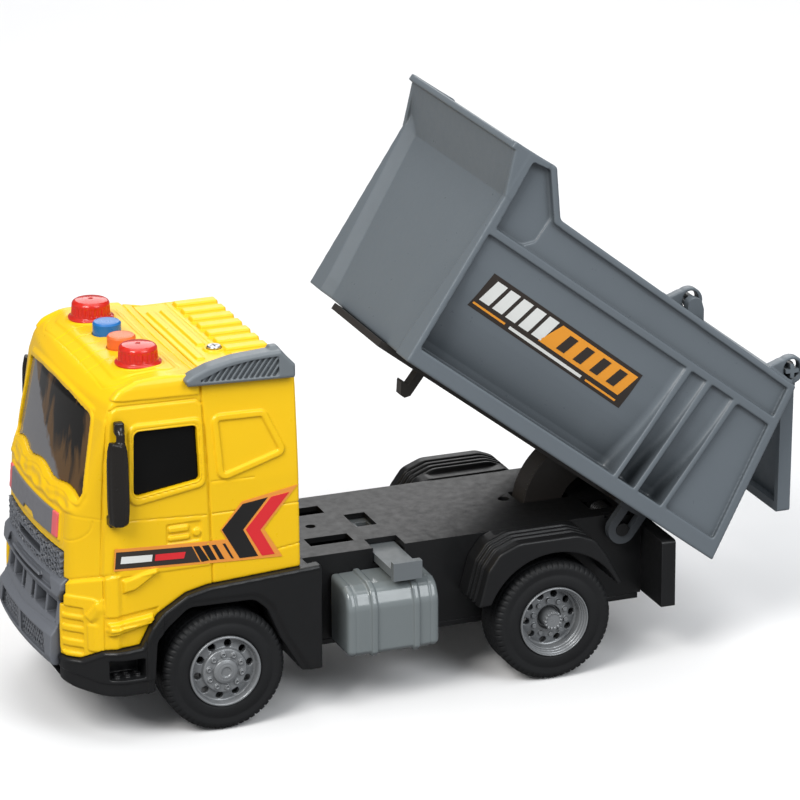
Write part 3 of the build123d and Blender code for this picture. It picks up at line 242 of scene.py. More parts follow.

# an occlusion entry paints shade into that material's recesses
SURFACES = {
    "cab_yellow": dict(colour=(0.88, 0.535, 0.006), rough=0.30, drift=0.015, grain=0.004,
                       rough_drift=0.03, wear=0.25, wear_colour=(0.90, 0.66, 0.10),
                       specular=0.35, scatter=0.03, wobble=0.006, occlusion=0.22,
                       occlusion_reach=0.002),
    "black_plastic": dict(colour=(0.0085, 0.0088, 0.0095), rough=0.36, drift=0.15, grain=0.010,
                          wear=0.5, wear_colour=(0.07, 0.07, 0.075), specular=0.32),
    "dark_gloss": dict(colour=(0.004, 0.004, 0.004), specular=0.10, **GLOSSY),
    "grille_grey": dict(colour=(0.145, 0.155, 0.176), rough=0.40, grain=0.010, wear=0.3,
                        wear_colour=(0.3, 0.3, 0.32), specular=0.4, occlusion=0.95,
                        occlusion_reach=0.0045),
    "fairing_grey": dict(colour=(0.155, 0.175, 0.19), rough=0.38, grain=0.008, wear=0.3,
                         wear_colour=(0.34, 0.36, 0.38), specular=0.4, occlusion=0.6,
                         occlusion_reach=0.002),
    "mirror_brown": dict(colour=(0.013, 0.011, 0.0095), rough=0.22, grain=0.001, wear=0.08,
                         wear_colour=(0.10, 0.095, 0.09), specular=0.4),
    "bed_grey": dict(colour=(0.134, 0.156, 0.176), rough=0.34, drift=0.035, grain=0.006,
                     wear=0.35, wear_colour=(0.27, 0.30, 0.32), wobble=0.012, specular=0.45,
                     occlusion=0.8, occlusion_reach=0.014),
    "frame_dark": DARK_FRAME,
    "tank_grey": dict(colour=(0.165, 0.188, 0.194), rough=0.16, grain=0.002, wear=0.3,
                      coat=0.35, wobble=0.01),
    "lever_grey": dict(colour=(0.135, 0.15, 0.16), rough=0.4, wear=0.3, specular=0.4),
    "rim_silver": dict(colour=(0.235, 0.245, 0.255), rough=0.30, metallic=0.35, grain=0.004,
                       wear=0.35, wear_colour=(0.5, 0.5, 0.52), occlusion=0.6,
                       occlusion_reach=0.0025),
    "tyre_rubber": dict(colour=(0.0105, 0.011, 0.012), rough=0.55, drift=0.35, grain=0.055,
                        grain_scale=1500, wear=0.5, wear_colour=(0.05, 0.05, 0.052),
                        specular=0.28),
    # beacon_red's emission is a painted glow standing in for light passing through the red dome
    "beacon_red": dict(colour=(0.70, 0.026, 0.012), rough=0.12, grain=0.0008, wear=0.25,
                       wear_colour=(0.95, 0.30, 0.22), transmission=0.4, coat=0.25,
                       scatter=0.2, scatter_scale=0.003, emission=0.13, occlusion=0.3,
                       occlusion_reach=0.002),
    "button_blue": dict(colour=(0.004, 0.135, 0.42), rough=0.3, grain=0.003, wear=0.25,
                        coat=0.2),
    "button_orange": dict(colour=(0.74, 0.135, 0.022), rough=0.3, grain=0.003, wear=0.25,
                          coat=0.1),
    "steel": dict(colour=(0.55, 0.55, 0.56), rough=0.28, metallic=1.0, grain=0.004, wear=0.4,
                  wear_colour=(0.8, 0.8, 0.8)),
    "steel_dark": dict(colour=(0.05, 0.05, 0.052), rough=0.42, metallic=0.7, grain=0.004,
                       wear=0.2, wear_colour=(0.25, 0.25, 0.25)),
    "gear_white": dict(colour=(0.72, 0.70, 0.64), rough=0.4, scatter=0.1),
    "board_green": dict(colour=(0.02, 0.16, 0.05), rough=0.35),
    "lamp_clear": dict(colour=(0.85, 0.85, 0.85), rough=0.1, transmission=0.8),
    "film_dark": dict(colour=(0.035, 0.028, 0.024), **FILM),
    "film_black": dict(colour=(0.014, 0.013, 0.013), **FILM),
    "film_orange": dict(colour=(0.83, 0.33, 0.035), **FILM),
    "film_red": dict(colour=(0.70, 0.028, 0.035), **FILM),
    "film_white": dict(colour=(0.74, 0.75, 0.73), **FILM),
    "film_edge": dict(colour=(0.80, 0.30, 0.05), **FILM),
}


def painted(name, paint, **look):
    """Surface whose base colour passes through paint(shader, position, colour)."""
    material = surface(name, **look)
    shader = Shader(material)
    principled = next(n for n in shader.tree.nodes if n.type == "BSDF_PRINCIPLED")
    base = principled.inputs["Base Color"]
    colour = paint(shader, shader.position(), base.links[0].from_socket)
    shader.tree.links.new(colour, base)
    return material


def screen_paint(shader, position, colour):
    """Faint brown drifts, and a pale painted reflection below a slanted, slightly ragged line."""
    stretched = shader.add("Mapping", {"Vector": position, "Scale": (1.0, 1.0, 0.28),
                                       "Rotation": (0.0, 0.22, 0.0)}).outputs[0]
    clouds = shader.noise(stretched, Scale=95.0, Detail=3.0, Distortion=0.6)
    drifts = shader.remap(clouds, start=0.47, end=0.55)
    colour = shader.mix(drifts, colour, (0.105, 0.055, 0.018))
    axes = shader.axes(position)
    slant = shader.math("MULTIPLY_ADD", axes["X"], 0.62, 0.0)
    height = shader.math("ADD", slant, axes["Z"])
    ragged = shader.math("MULTIPLY_ADD", shader.noise(position, Scale=260.0), 0.006, height)
    # painted reflection: a pale sheen laid into the windscreen's colour
    sheen = shader.remap(ragged, start=0.0965, end=0.0945)
    return shader.mix(sheen, colour, (0.155, 0.155, 0.165))


def beyond_x(shader, position, limit):
    """1 where |x| is over the limit in metres."""
    distance = shader.math("ABSOLUTE", shader.axes(position)["X"])
    return shader.math("GREATER_THAN", distance, limit)


def tip_frame_paint(shader, position, colour):
    """Slate lugs at both sides of the dark middle."""
    at_sides = beyond_x(shader, position, limit=0.0262)
    slate = shader.mix(shader.noise(position, Scale=60.0),
                       (0.050, 0.056, 0.064), (0.066, 0.074, 0.083))
    return shader.mix(at_sides, colour, slate)


def name_bar_paint(shader, position, colour):
    """Red ends."""
    return shader.mix(beyond_x(shader, position, limit=0.0222), colour, (0.78, 0.13, 0.15))


materials = {name: surface(name, **look) for name, look in SURFACES.items()}
# the windscreen's colour is dark tint with a painted reflection
materials["tinted_screen_painted_reflection"] = painted("tinted_screen_painted_reflection", screen_paint, colour=(0.006, 0.005, 0.004),
                                     specular=0.28, **GLOSSY)
materials["tip_frame_mix"] = painted("tip_frame_mix", tip_frame_paint, **DARK_FRAME)
materials["name_bar"] = painted("name_bar", name_bar_paint, colour=(0.16, 0.16, 0.175),
                                rough=0.35, grain=0.003, wear=0.1)

# CAD pieces shown in another material than their slot's
MATERIAL_OVERRIDES = {"tip_frame": "tip_frame_mix", "lift_spring": "steel_dark",
                      "lever_spring": "steel_dark", "chassis_screws": "steel_dark"}

# CAD pieces given a small moulded edge: radius
EDGE_RADII = {
    "chassis_deck": 0.3, "underplate": 0.2, "rear_panel": 0.35, "tip_frame": 0.25,
    "tailgate": 0.3, "release_lever": 0.3, "roof_screw": 0.12, "gearbox_case_left": 0.25,
    "gearbox_case_right": 0.25, "speaker_bracket": 0.2, "battery_holder": 0.2,
}


def dress_cad_pieces():
    slots = {part["node"]: part["material_slot"] for part in frame["record"]["subparts"]}
    for name, piece in nodes.items():
        piece.data.materials.clear()
        piece.data.materials.append(materials[MATERIAL_OVERRIDES.get(name, slots[name])])


def soften_edges(piece, radius):
    join = piece.modifiers.new("join", "WELD")
    join.merge_threshold = 2e-6
    bevel = piece.modifiers.new("edge_radius", "BEVEL")
    bevel.width = radius * MM
    bevel.segments = 2
    bevel.limit_method = "ANGLE"
    bevel.angle_limit = math.radians(30)
    bevel.use_clamp_overlap = True
    shade = piece.modifiers.new("shade", "WEIGHTED_NORMAL")
    shade.keep_sharp = False


dress_cad_pieces()
for piece_name, edge_radius in EDGE_RADII.items():
    soften_edges(nodes[piece_name], edge_radius)


# ------------------------------------------------------------------ distance fields
class Grid:
    """Sample points of a box; the three axes broadcast against each other."""

    def __init__(self, cell, x_range, y_range, z_range):
        self.cell = cell
        x, y, z = (np.arange(low, high + cell, cell, dtype=np.float32)
                   for low, high in (x_range, y_range, z_range))
        self.axes = (x[:, None, None], y[None, :, None], z[None, None, :])

    def box(self, x0, x1, y0, y1, z0, z1, radius=0.0):
        beyond = [np.abs(axis - (low + high) / 2) - (high - low) / 2 + radius
                  for axis, low, high in zip(self.axes, (x0, y0, z0), (x1, y1, z1))]
        inside = within(*beyond)
        if radius == 0:
            return inside
        x, y, z = (np.maximum(distance, 0) for distance in beyond)
        return np.sqrt(x ** 2 + y ** 2 + z ** 2) + np.minimum(inside, 0) - radius


def round_corners(points, radii):
    """Outline with the corners numbered in radii replaced by arcs."""
    steps = 6
    rounded = []
    for i, point in enumerate(points):
        radius = radii.get(i, 0)
        if not radius:
            rounded.append(point)
            continue
        corner = np.array(point, float)
        back = np.array(points[i - 1], float) - corner
        ahead = np.array(points[(i + 1) % len(points)], float) - corner
        back_length, ahead_length = np.linalg.norm(back), np.linalg.norm(ahead)
        back, ahead = back / back_length, ahead / ahead_length
        angle = math.acos(max(-1, min(1, float(back @ ahead))))
        if angle > math.pi - 0.01:
            rounded.append(point)
            continue
        # an arc takes less than half of either neighbouring edge
        reach = min(radius / math.tan(angle / 2), 0.48 * back_length, 0.48 * ahead_length)
        radius = reach * math.tan(angle / 2)
        middle = (back + ahead) / np.linalg.norm(back + ahead)
        centre = corner + middle * (radius / math.sin(angle / 2))
        start, end = corner + back * reach - centre, corner + ahead * reach - centre
        first = math.atan2(start[1], start[0])
        last = math.atan2(end[1], end[0])
        turn = (last - first + math.pi) % TAU - math.pi
        for j in range(steps + 1):
            angle = first + turn * j / steps
            rounded.append((centre[0] + radius * math.cos(angle),
                            centre[1] + radius * math.sin(angle)))
    return rounded


def squared_gap(from_u, from_v, edge_u, edge_v, length_squared):
    """Squared distance to an edge, from offsets measured at its first end."""
    along = np.clip((from_u * edge_u + from_v * edge_v) / length_squared, 0, 1)
    gap_u, gap_v = from_u - edge_u * along, from_v - edge_v * along
    return gap_u * gap_u + gap_v * gap_v


def outline(u, v, points):
    """Signed distance to a closed outline."""
    u, v = np.broadcast_arrays(u, v)
    nearest = np.full(u.shape, 1e9, np.float32)
    sign = np.ones(u.shape, np.float32)
    for i, (u0, v0) in enumerate(points):
        u1, v1 = points[i - 1]
        edge_u, edge_v = u1 - u0, v1 - v0
        length_squared = edge_u * edge_u + edge_v * edge_v
        if length_squared < 1e-9:
            continue
        from_u, from_v = u - np.float32(u0), v - np.float32(v0)
        gap = squared_gap(from_u, from_v, edge_u, edge_v, length_squared)
        nearest = np.minimum(nearest, gap)
        above, below, left = v >= v0, v < v1, edge_u * from_v > edge_v * from_u
        sign = np.where((above & below & left) | (~above & ~below & ~left), -sign, sign)
    return (sign * np.sqrt(nearest)).astype(np.float32)


def path(u, v, points):
    """Distance to an open line of points."""
    u, v = np.broadcast_arrays(u, v)
    nearest = np.full(u.shape, 1e9, np.float32)
    for (u0, v0), (u1, v1) in zip(points, points[1:]):
        edge_u, edge_v = u1 - u0, v1 - v0
        length_squared = max(edge_u * edge_u + edge_v * edge_v, 1e-9)
        gap = squared_gap(u - np.float32(u0), v - np.float32(v0), edge_u, edge_v, length_squared)
        nearest = np.minimum(nearest, gap)
    return np.sqrt(nearest).astype(np.float32)


def rect(u, v, centre_u, centre_v, half_u, half_v, radius):
    beyond_u = np.abs(u - centre_u) - (half_u - radius)
    beyond_v = np.abs(v - centre_v) - (half_v - radius)
    outside = np.sqrt(np.maximum(beyond_u, 0) ** 2 + np.maximum(beyond_v, 0) ** 2)
    return outside + np.minimum(np.maximum(beyond_u, beyond_v), 0) - radius


def disc(u, v, centre_u, centre_v, radius):
    return np.sqrt((u - centre_u) ** 2 + (v - centre_v) ** 2) - radius


def slab(value, low, high):
    return np.maximum(low - value, value - high)


def within(*fields):
    """Overlap of several fields with sharp edges."""
    return reduce(np.maximum, fields)


def union(first, second, radius=0):
    if radius == 0:
        return np.minimum(first, second)
    blend = np.maximum(radius - np.abs(first - second), 0) / radius
    return np.minimum(first, second) - blend * blend * (radius / 4)


def overlap(first, second, radius):
    return -union(-first, -second, radius)


def carve(body, tool, radius=0):
    return -union(-body, tool, radius)


def ramp(distance, width):
    """1 inside a shape, falling smoothly to 0 over width about its edge."""
    step = np.clip(0.5 - distance / width, 0, 1)
    return step * step * (3 - 2 * step)


# ------------------------------------------------------------------ meshes
def outward(points, faces):
    """Faces, reversed where their enclosed volume comes out negative."""
    centre = points.mean(0)
    first, *rest = (points[faces[:, i]] - centre for i in range(faces.shape[1]))
    volume = sum(np.einsum("ij,ij->i", first, np.cross(second, third)).sum()
                 for second, third in zip(rest, rest[1:]))
    return faces[:, ::-1] if volume < 0 else faces


def add_mesh(name, points, faces, material, body, part=None, smooth=True):
    points = points + np.array((0, Y_SHIFT, 0))
    faces = outward(points, faces)
    count, corners = faces.shape
    mesh = bpy.data.meshes.new(name)
    mesh.vertices.add(len(points))
    mesh.vertices.foreach_set("co", np.asarray(points * MM, np.float32).ravel())
    mesh.loops.add(count * corners)
    mesh.loops.foreach_set("vertex_index", np.asarray(faces, np.int32).ravel())
    mesh.polygons.add(count)
    mesh.polygons.foreach_set("loop_start",
                              np.arange(0, count * corners, corners, dtype=np.int32))
    mesh.polygons.foreach_set("use_smooth", np.full(count, smooth))
    mesh.update()
    mesh.validate()
    mesh.materials.append(materials[material])
    added = bpy.data.objects.new(name, mesh)
    scene.collection.objects.link(added)
    if part:
        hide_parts(part)
    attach(added, body)
    return added


def add_field(grid, field, name, part=None, slot=None, material=None, body="truck", place=None):
    """Mesh the zero surface of a field; place moves the points before they are used."""
    cell = grid.cell
    field = np.ascontiguousarray(np.clip(field, -3 * cell, 3 * cell).astype(np.float32))
    volume = vdb.FloatGrid(3 * cell)
    volume.copyFromArray(field, tolerance=0.0)
    points, quads = volume.convertToQuads(isovalue=0.0)
    origin = np.array([float(axis.min()) for axis in grid.axes])
    points = np.asarray(points, np.float64) * cell + origin
    if place is not None:
        points = place(points)
    quads = np.asarray(quads, np.int32)
    return add_mesh(name, points, quads, material or slot, body, part)


def mirrored(points):
    return points * np.array((-1, 1, 1))


def add_pair(grid, field, name, part, slot):
    """A left piece and its mirror image on the right."""
    for side, place in (("_left", None), ("_right", mirrored)):
        add_field(grid, field, name + side, part + side, slot, place=place)


# ------------------------------------------------------------------ cab
# Line between yellow cab and black lower cab: y, z
CAB_SEAM = [(-114, 28.4), (-103, 28.6), (-97.2, 32.2), (-85.2, 33.2), (-82.0, 39.4),
            (-78.5, 43.6), (-69.8, 48.9), (-62.5, 50.6), (-24.4, 52.8)]
# Front wheel arch: y, z
ARCH = round_corners(
    [(-80.9, 10.0), (-80.9, 21.0), (-79.9, 34.4), (-75.8, 38.8), (-69.2, 44.2), (-47.2, 43.8),
     (-42.9, 39.9), (-38.6, 29.5), (-31.4, 17.2), (-31.4, 10.0)],
    {2: 4, 3: 6, 4: 5, 5: 5, 6: 6, 7: 4})
# Lining round the arch: y, z
ARCH_LINING = round_corners(
    [(-82.5, 17.0), (-82.5, 22.0), (-81.4, 35.0), (-76.8, 40.0), (-69.8, 45.6), (-46.6, 45.3),
     (-41.6, 40.8), (-37.2, 30.2), (-30.0, 17.9), (-30.0, 17.0)],
    {2: 4, 3: 6, 4: 5, 5: 5, 6: 6, 7: 4})
# Side window: y, z
SIDE_WINDOW = round_corners([(-85.6, 104.9), (-64.9, 104.6), (-64.4, 86.6), (-86.5, 83.4)],
                            {0: 2.0, 1: 1.5, 2: 1.5, 3: 2.0})
# Cab seen from the side: y, z
CAB_PROFILE = round_corners(
    [(60, 20), (60, 118.4), (-60.6, 118.4), (-66.6, 119.8), (-78, 121.4), (-87, 120.6),
     (-93.6, 117.6), (-96.6, 114.0), (-98.6, 108.5), (-103.5, 83.2), (-106.4, 77.6),
     (-107.4, 66.0), (-108.0, 52.0), (-112.0, 27.0), (-112.0, 20)],
    {3: 10, 4: 20, 5: 8, 6: 5, 7: 6, 9: 5, 10: 4, 12: 4})
# Half of the cab seen from above, |x|, y, and from the front, |x|, z
CAB_PLAN = round_corners([(43.5, 60), (43.5, -93.0), (31.5, -105.6), (14, -113.0), (0, -114.0),
                          (-20, -114.0), (-20, 60)], {1: 12, 2: 8, 3: 10})
CAB_FRONT = round_corners([(-20, 0), (43.5, 0), (43.5, 84), (41.4, 113), (40.2, 122.4),
                           (-20, 122.4)], {2: 12, 3: 5, 4: 6.5})
# Hollow through the middle of the lower cab: x, y and z limits
CENTRE_HOLLOW = (-26.5, 26.5, -102.8, -20, 10, 48.24)


def bowed(x, y):
    """The y where a point meets the centre plane when turned about the bow axis."""
    return BOW_Y - np.sqrt(x * x + (BOW_Y - y) ** 2)


def bow_swept(grid, points):
    """Distance to a (y, z) outline swept about the bow axis, read from a table."""
    x, y, z = grid.axes
    step = 0.2
    stations = np.arange(-124.0, 62.0, step, dtype=np.float32)
    table = outline(stations[:, None], z[0, 0][None, :], points)
    place = np.clip((bowed(x[:, :, 0], y[:, :, 0]) - stations[0]) / step, 0, len(stations) - 2.01)
    index = place.astype(np.int32)
    share = (place - index).astype(np.float32)[..., None]
    return table[index] * (1 - share) + table[index + 1] * share


def windscreen(x, z):
    """Windscreen outline with a wavy lower edge."""
    low = [(across, 83.2 + 0.8 * math.cos(TAU * across / 25.0) - 0.0012 * across * across)
           for across in np.linspace(33.8, -33.8, 28)]
    top = [(-32.6, 108.6), (-16, 110.6), (0, 111.2), (16, 110.6), (32.6, 108.6), (35.0, 84.4)]
    return outline(x, z, round_corners(top + low + [(-35.0, 84.4)],
                                       {0: 2.5, 4: 2.5, 5: 1.5, 34: 1.5}))


def cab_shape(grid):
    """The cab's plain outer form."""
    x, y, z = grid.axes
    form = overlap(bow_swept(grid, CAB_PROFILE), outline(np.abs(x), y, CAB_PLAN), 2.0)
    form = overlap(form, outline(np.abs(x), z, CAB_FRONT), 1.5)
    return overlap(form, y - (CAB_REAR - 0.0076 * z), 1.2)


def side_relief(y, z):
    """Height of the detail on the cab sides."""
    door_gap = [(-96.6, 57.2), (-95.0, 95), (-93.5, 109.6), (-92.6, 111.9), (-90.6, 113.1),
                (-64.6, 112.7), (-62.9, 111.4)]
    door = round_corners([(-96.6, 57.2), (-93.5, 113.3), (-62.9, 112.7), (-61.3, 57.2)],
                         {1: 4, 2: 2})
    relief = -0.45 * ramp(path(y, z, door_gap) - 0.30, 0.7)
    relief += DOOR_RAISE * ramp(outline(y, z, door), 0.5)
    roof_band = [(-99, 116.2), (-88.6, 114.9), (-63.3, 114.2), (-63.3, 125), (-99, 125)]
    relief += 0.4 * ramp(outline(y, z, roof_band), 0.7)
    rear_gap = [(-62.9, 118), (-62.0, 99), (-61.0, 74), (-60.5, 50)]
    relief -= 0.42 * ramp(path(y, z, rear_gap) - 0.25, 0.4)
    window_rim = round_corners([(-87.3, 107.2), (-62.9, 106.8), (-62.5, 84.4), (-88.2, 80.2)],
                               {0: 3.2, 1: 2.6, 2: 2.6, 3: 3.2})
    relief += 0.55 * ramp(outline(y, z, window_rim), 0.7)
    window = outline(y, z, SIDE_WINDOW)
    relief -= 0.3 * ramp(np.abs(window - 0.75) - 0.12, 0.4)
    # raised four-sided frame behind the window
    rear_frame = outline(y, z, round_corners(
        [(-59.8, 107.0), (-41.8, 106.7), (-34.7, 91.6), (-58.2, 84.6)],
        {0: 2.6, 1: 3.0, 2: 2.6, 3: 3.0}))
    relief += 0.55 * ramp(rear_frame, 0.6) - 0.55 * ramp(rear_frame + 2.1, 0.6)
    # level grooves
    relief -= 0.24 * ramp(path(y, z, [(-60.2, 85.1), (-46, 84.9)]) - 0.12, 0.5)
    relief -= (0.28 * ramp(path(y, z, [(-88.5, 75.8), (-62.2, 74.3)]) - 0.15, 0.5)
               + 0.28 * ramp(path(y, z, [(-60.4, 74.3), (-30, 74.4)]) - 0.15, 0.5))
    relief -= 0.28 * ramp(path(y, z, [(-46, 58.4), (-30, 60.6)]) - 0.15, 0.5)
    # door handle: recess, two bars and a button
    relief -= 0.34 * ramp(rect(y, z, -70.0, 69.5, 5.7, 3.2, 0.6), 0.5)
    for bar_y, bar_z, half_y, half_z in ((-71.7, 70.9, 3.3, 1.0), (-71.6, 67.9, 3.5, 0.8)):
        relief += 0.6 * ramp(rect(y, z, bar_y, bar_z, half_y, half_z, 0.6), 0.5)
    relief += 0.55 * ramp(disc(y, z, -65.7, 69.0, 1.3), 0.4)
    # raised wedge and ledge behind the front corner
    wedge = [(-90.4, 56.0), (-88.4, 56.4), (-79.6, 58.6), (-79.0, 57.6), (-86.4, 52.8),
             (-90.2, 52.0)]
    relief += 0.9 * ramp(outline(y, z, wedge) - 0.1, 1.0)
    ledge = [(-95.2, 41.4), (-81.0, 43.0), (-80.4, 41.6), (-81.8, 40.4), (-90.6, 38.4),
             (-95.0, 37.6)]
    relief += 1.0 * ramp(outline(y, z, ledge) - 0.1, 0.8)
    # sunk bands about the ledge, and an upright groove ahead of them
    above = [(-96.2, 43.4), (-79.0, 45.4), (-79.0, 41.0), (-96.2, 40.0)]
    relief -= 0.35 * ramp(outline(y, z, above), 0.6)
    below = [(-96.0, 38.6), (-81.8, 41.0), (-80, 26), (-96.0, 26)]
    relief -= 0.35 * ramp(outline(y, z, below), 0.7)
    relief -= 0.5 * ramp(path(y, z, [(-96.2, 57.0), (-96.2, 26)]) - 0.25, 0.5)
    return relief


def corner_relief(abs_x, z):
    """Height of the detail at the front's outer corners."""
    at_corner = abs_x > 28.5
    step = z - (52.6 + np.clip(abs_x - 29, 0, 20) * 0.34)
    relief = 0.8 * ramp(step, 0.9) * at_corner
    relief = relief - 0.4 * ramp(np.abs(step - 0.9) - 0.1, 0.7) * at_corner
    relief += 0.5 * ramp(rect(abs_x, z, 35.4, 39.2, 6.0, 10.4, 3.0), 0.8)
    for low, high in ((43.2, 45.9), (39.4, 41.6), (34.7, 37.4), (30.4, 32.4)):
        relief -= 0.6 * ramp(rect(abs_x, z, 33.7, (low + high) / 2, 2.9, (high - low) / 2, 0.5),
                             0.4)
    fin = [(37.6, 43.6), (41.0, 49.6), (41.4, 46.2), (40.4, 43.4), (39.2, 41.8)]
    relief += (0.8 * ramp(outline(abs_x, z, fin), 0.9)
               + 0.5 * ramp(rect(abs_x, z, 39.2, 36.4, 1.2, 4.6, 0.8), 0.9))
    return relief


def centre_relief(x, z, screen):
    """Height of the cowl, the windscreen frame and the name bar's seat."""
    abs_x = np.abs(x)
    # wavy lips and slanted facets below the windscreen
    lip_z = 80.6 + 1.0 * np.cos(TAU * x / 25.0) - 0.0010 * x * x
    low_lip_z = 77.6 + 0.6 * np.cos(TAU * x / 12.5 + 1)
    cowl = (np.exp(-((z - lip_z) / 1.4) ** 2) * 0.6
            + 0.4 * np.exp(-((z - low_lip_z) / 0.9) ** 2))
    facets = (0.42 * np.abs(((x * 0.13 + z * 0.10) % 1.0) - 0.5)
              * ramp(np.abs(z - 79.4) - 2.2, 1.2))
    relief = (cowl + facets) * ramp(abs_x - 32.0, 4.0) * (1 - ramp(z - 76.2, 1.0))
    brow = np.abs(z - (112.8 - 0.0022 * x * x)) - 0.5
    relief = relief + 0.5 * ramp(brow, 1.2) * ramp(abs_x - 33, 3.0)
    relief = relief + 0.4 * ramp(screen - 1.6, 0.5)
    seat = rect(x, z, 0, 70.6, 26.6, 5.0, 0.8)
    relief = relief + 0.5 * ramp(seat, 0.5)
    relief = relief - 0.3 * ramp(np.abs(seat - 1.8) - 0.1, 0.5) * (z < 76)
    # grooves curving round the outer ends of the seat
    arcs = np.sqrt((abs_x - 30) ** 2 + (z - 75.5) ** 2)
    relief = relief - 0.3 * ramp(np.abs(arcs - 8.2) - 0.12, 0.5) * (z < 75.5) * (abs_x > 29)
    return relief - 0.3 * ramp(np.abs(z - 76.2) - 0.12, 0.5) * (abs_x > 28.5)


def roof_relief(x, y):
    """Height of the detail on the roof."""
    relief = 0.4 * ramp(rect(x, y, 0, -78.0, 34.2, 10.2, 5.0), 0.9)
    relief -= 0.28 * ramp(np.abs(rect(x, y, 0, -79.0, 36.4, 13.0, 7.0)) - 0.1, 0.6)
    for groove_x in (-17, -8.5, 0, 8.5, 17):
        relief -= 0.25 * ramp(rect(x, y, groove_x, -87.6, 0.25, 5.0, 0.2), 0.4)
    relief -= 0.45 * ramp(np.abs(y + 62.7) - 0.25, 0.4)
    for side in (-1, 1):
        relief += 0.35 * ramp(disc(x, y, side * BEACON_X, BEACON_Y, 8.0), 0.5)
    return relief


def cab_openings(grid, body, screen, window):
    """Cuts windows, grille opening and roof holes."""
    x, y, z = grid.axes
    body = carve(body, within(screen, y + 90), 0.4)
    body = carve(body, within(window, 36 - np.abs(x)), 0.4)
    body = carve(body, grid.box(-28.9, 28.9, -125, -95, 10, 63.0), 0.4)
    body = carve(body, grid.box(-31.3, 31.3, -125, -95, 45.9, 54.3))
    for hole_x, radius in ((BEACON_X, 5.0), (7.6, 4.82)):
        for side in (-1, 1):
            hole = disc(x, y, side * hole_x, BEACON_Y, radius)
            body = carve(body, within(hole, 110 - z))
    return carve(body, within(rect(x, y, -2.3, -45.65, 36.4, 13.85, 0.6), 112.5 - z), 0.4)


def add_cab():
    grid = Grid(by_quality(0.34), (-45.8, 45.8), (-114.0, -29.0), (25.0, 124.2))
    x, y, z = grid.axes
    abs_x = np.abs(x)
    base = cab_shape(grid)
    screen = windscreen(x, z)
    window = outline(y, z, SIDE_WINDOW)
    on_side = np.clip((abs_x - 38.0) / 2.0, 0, 1)
    body = base - SIDE_RELIEF_GAIN * side_relief(y, z) * on_side
    on_front = np.clip((-95.4 - bowed(x, y)) / 1.6, 0, 1)
    front = corner_relief(abs_x, z) + centre_relief(x, z, screen)
    body = body - front * on_front * (z < 116)
    body = body - roof_relief(x, y) * np.clip((z - 113.5) / 1.5, 0, 1)
    body = carve(body, base + 1.8)
    above_seam = ([(-10, 140), (-125, 140), (-125, 28.4)]
                  + [(seam_y, seam_z + 0.06) for seam_y, seam_z in CAB_SEAM] + [(-10, 52.9)])
    body = overlap(body, outline(y, z, above_seam), 0.5)
    body = cab_openings(grid, body, screen, window)
    # ledge under the battery door
    ledge = carve(grid.box(-40, 37, -61.0, CAB_REAR - 1.4, 113.2, 115.1),
                  grid.box(-36.2, 32, -57.0, -33.6, 110, 117))
    body = union(body, within(ledge, base + CAB_WALL))
    cab = add_field(grid, body, "cab_body", "cab_shell", "cab_yellow")

    # glazing set back in the openings
    glazing = slab(base, -CAB_WALL, -0.7)
    add_field(grid, within(glazing, screen + 0.06, y + 88), "glass_front", "windscreen",
              "dark_gloss", "tinted_screen_painted_reflection")
    for side, sign in (("left", 1), ("right", -1)):
        add_field(grid, within(glazing, window + 0.06, 36 - x * sign), "glass_" + side,
                  "side_window_" + side, "dark_gloss")
    # blank name bar with a notch in its lower edge
    bar = outline(x, z, [(-25.8, 66.6), (-6, 66.6), (-4.2, 68.4), (4.2, 68.4), (6, 66.6),
                         (25.8, 66.6), (25.8, 74.8), (-25.8, 74.8)])
    add_field(grid, within(slab(base, -0.2, 1.15), bar, y + 95), "front_bar",
              material="name_bar")
    return cab


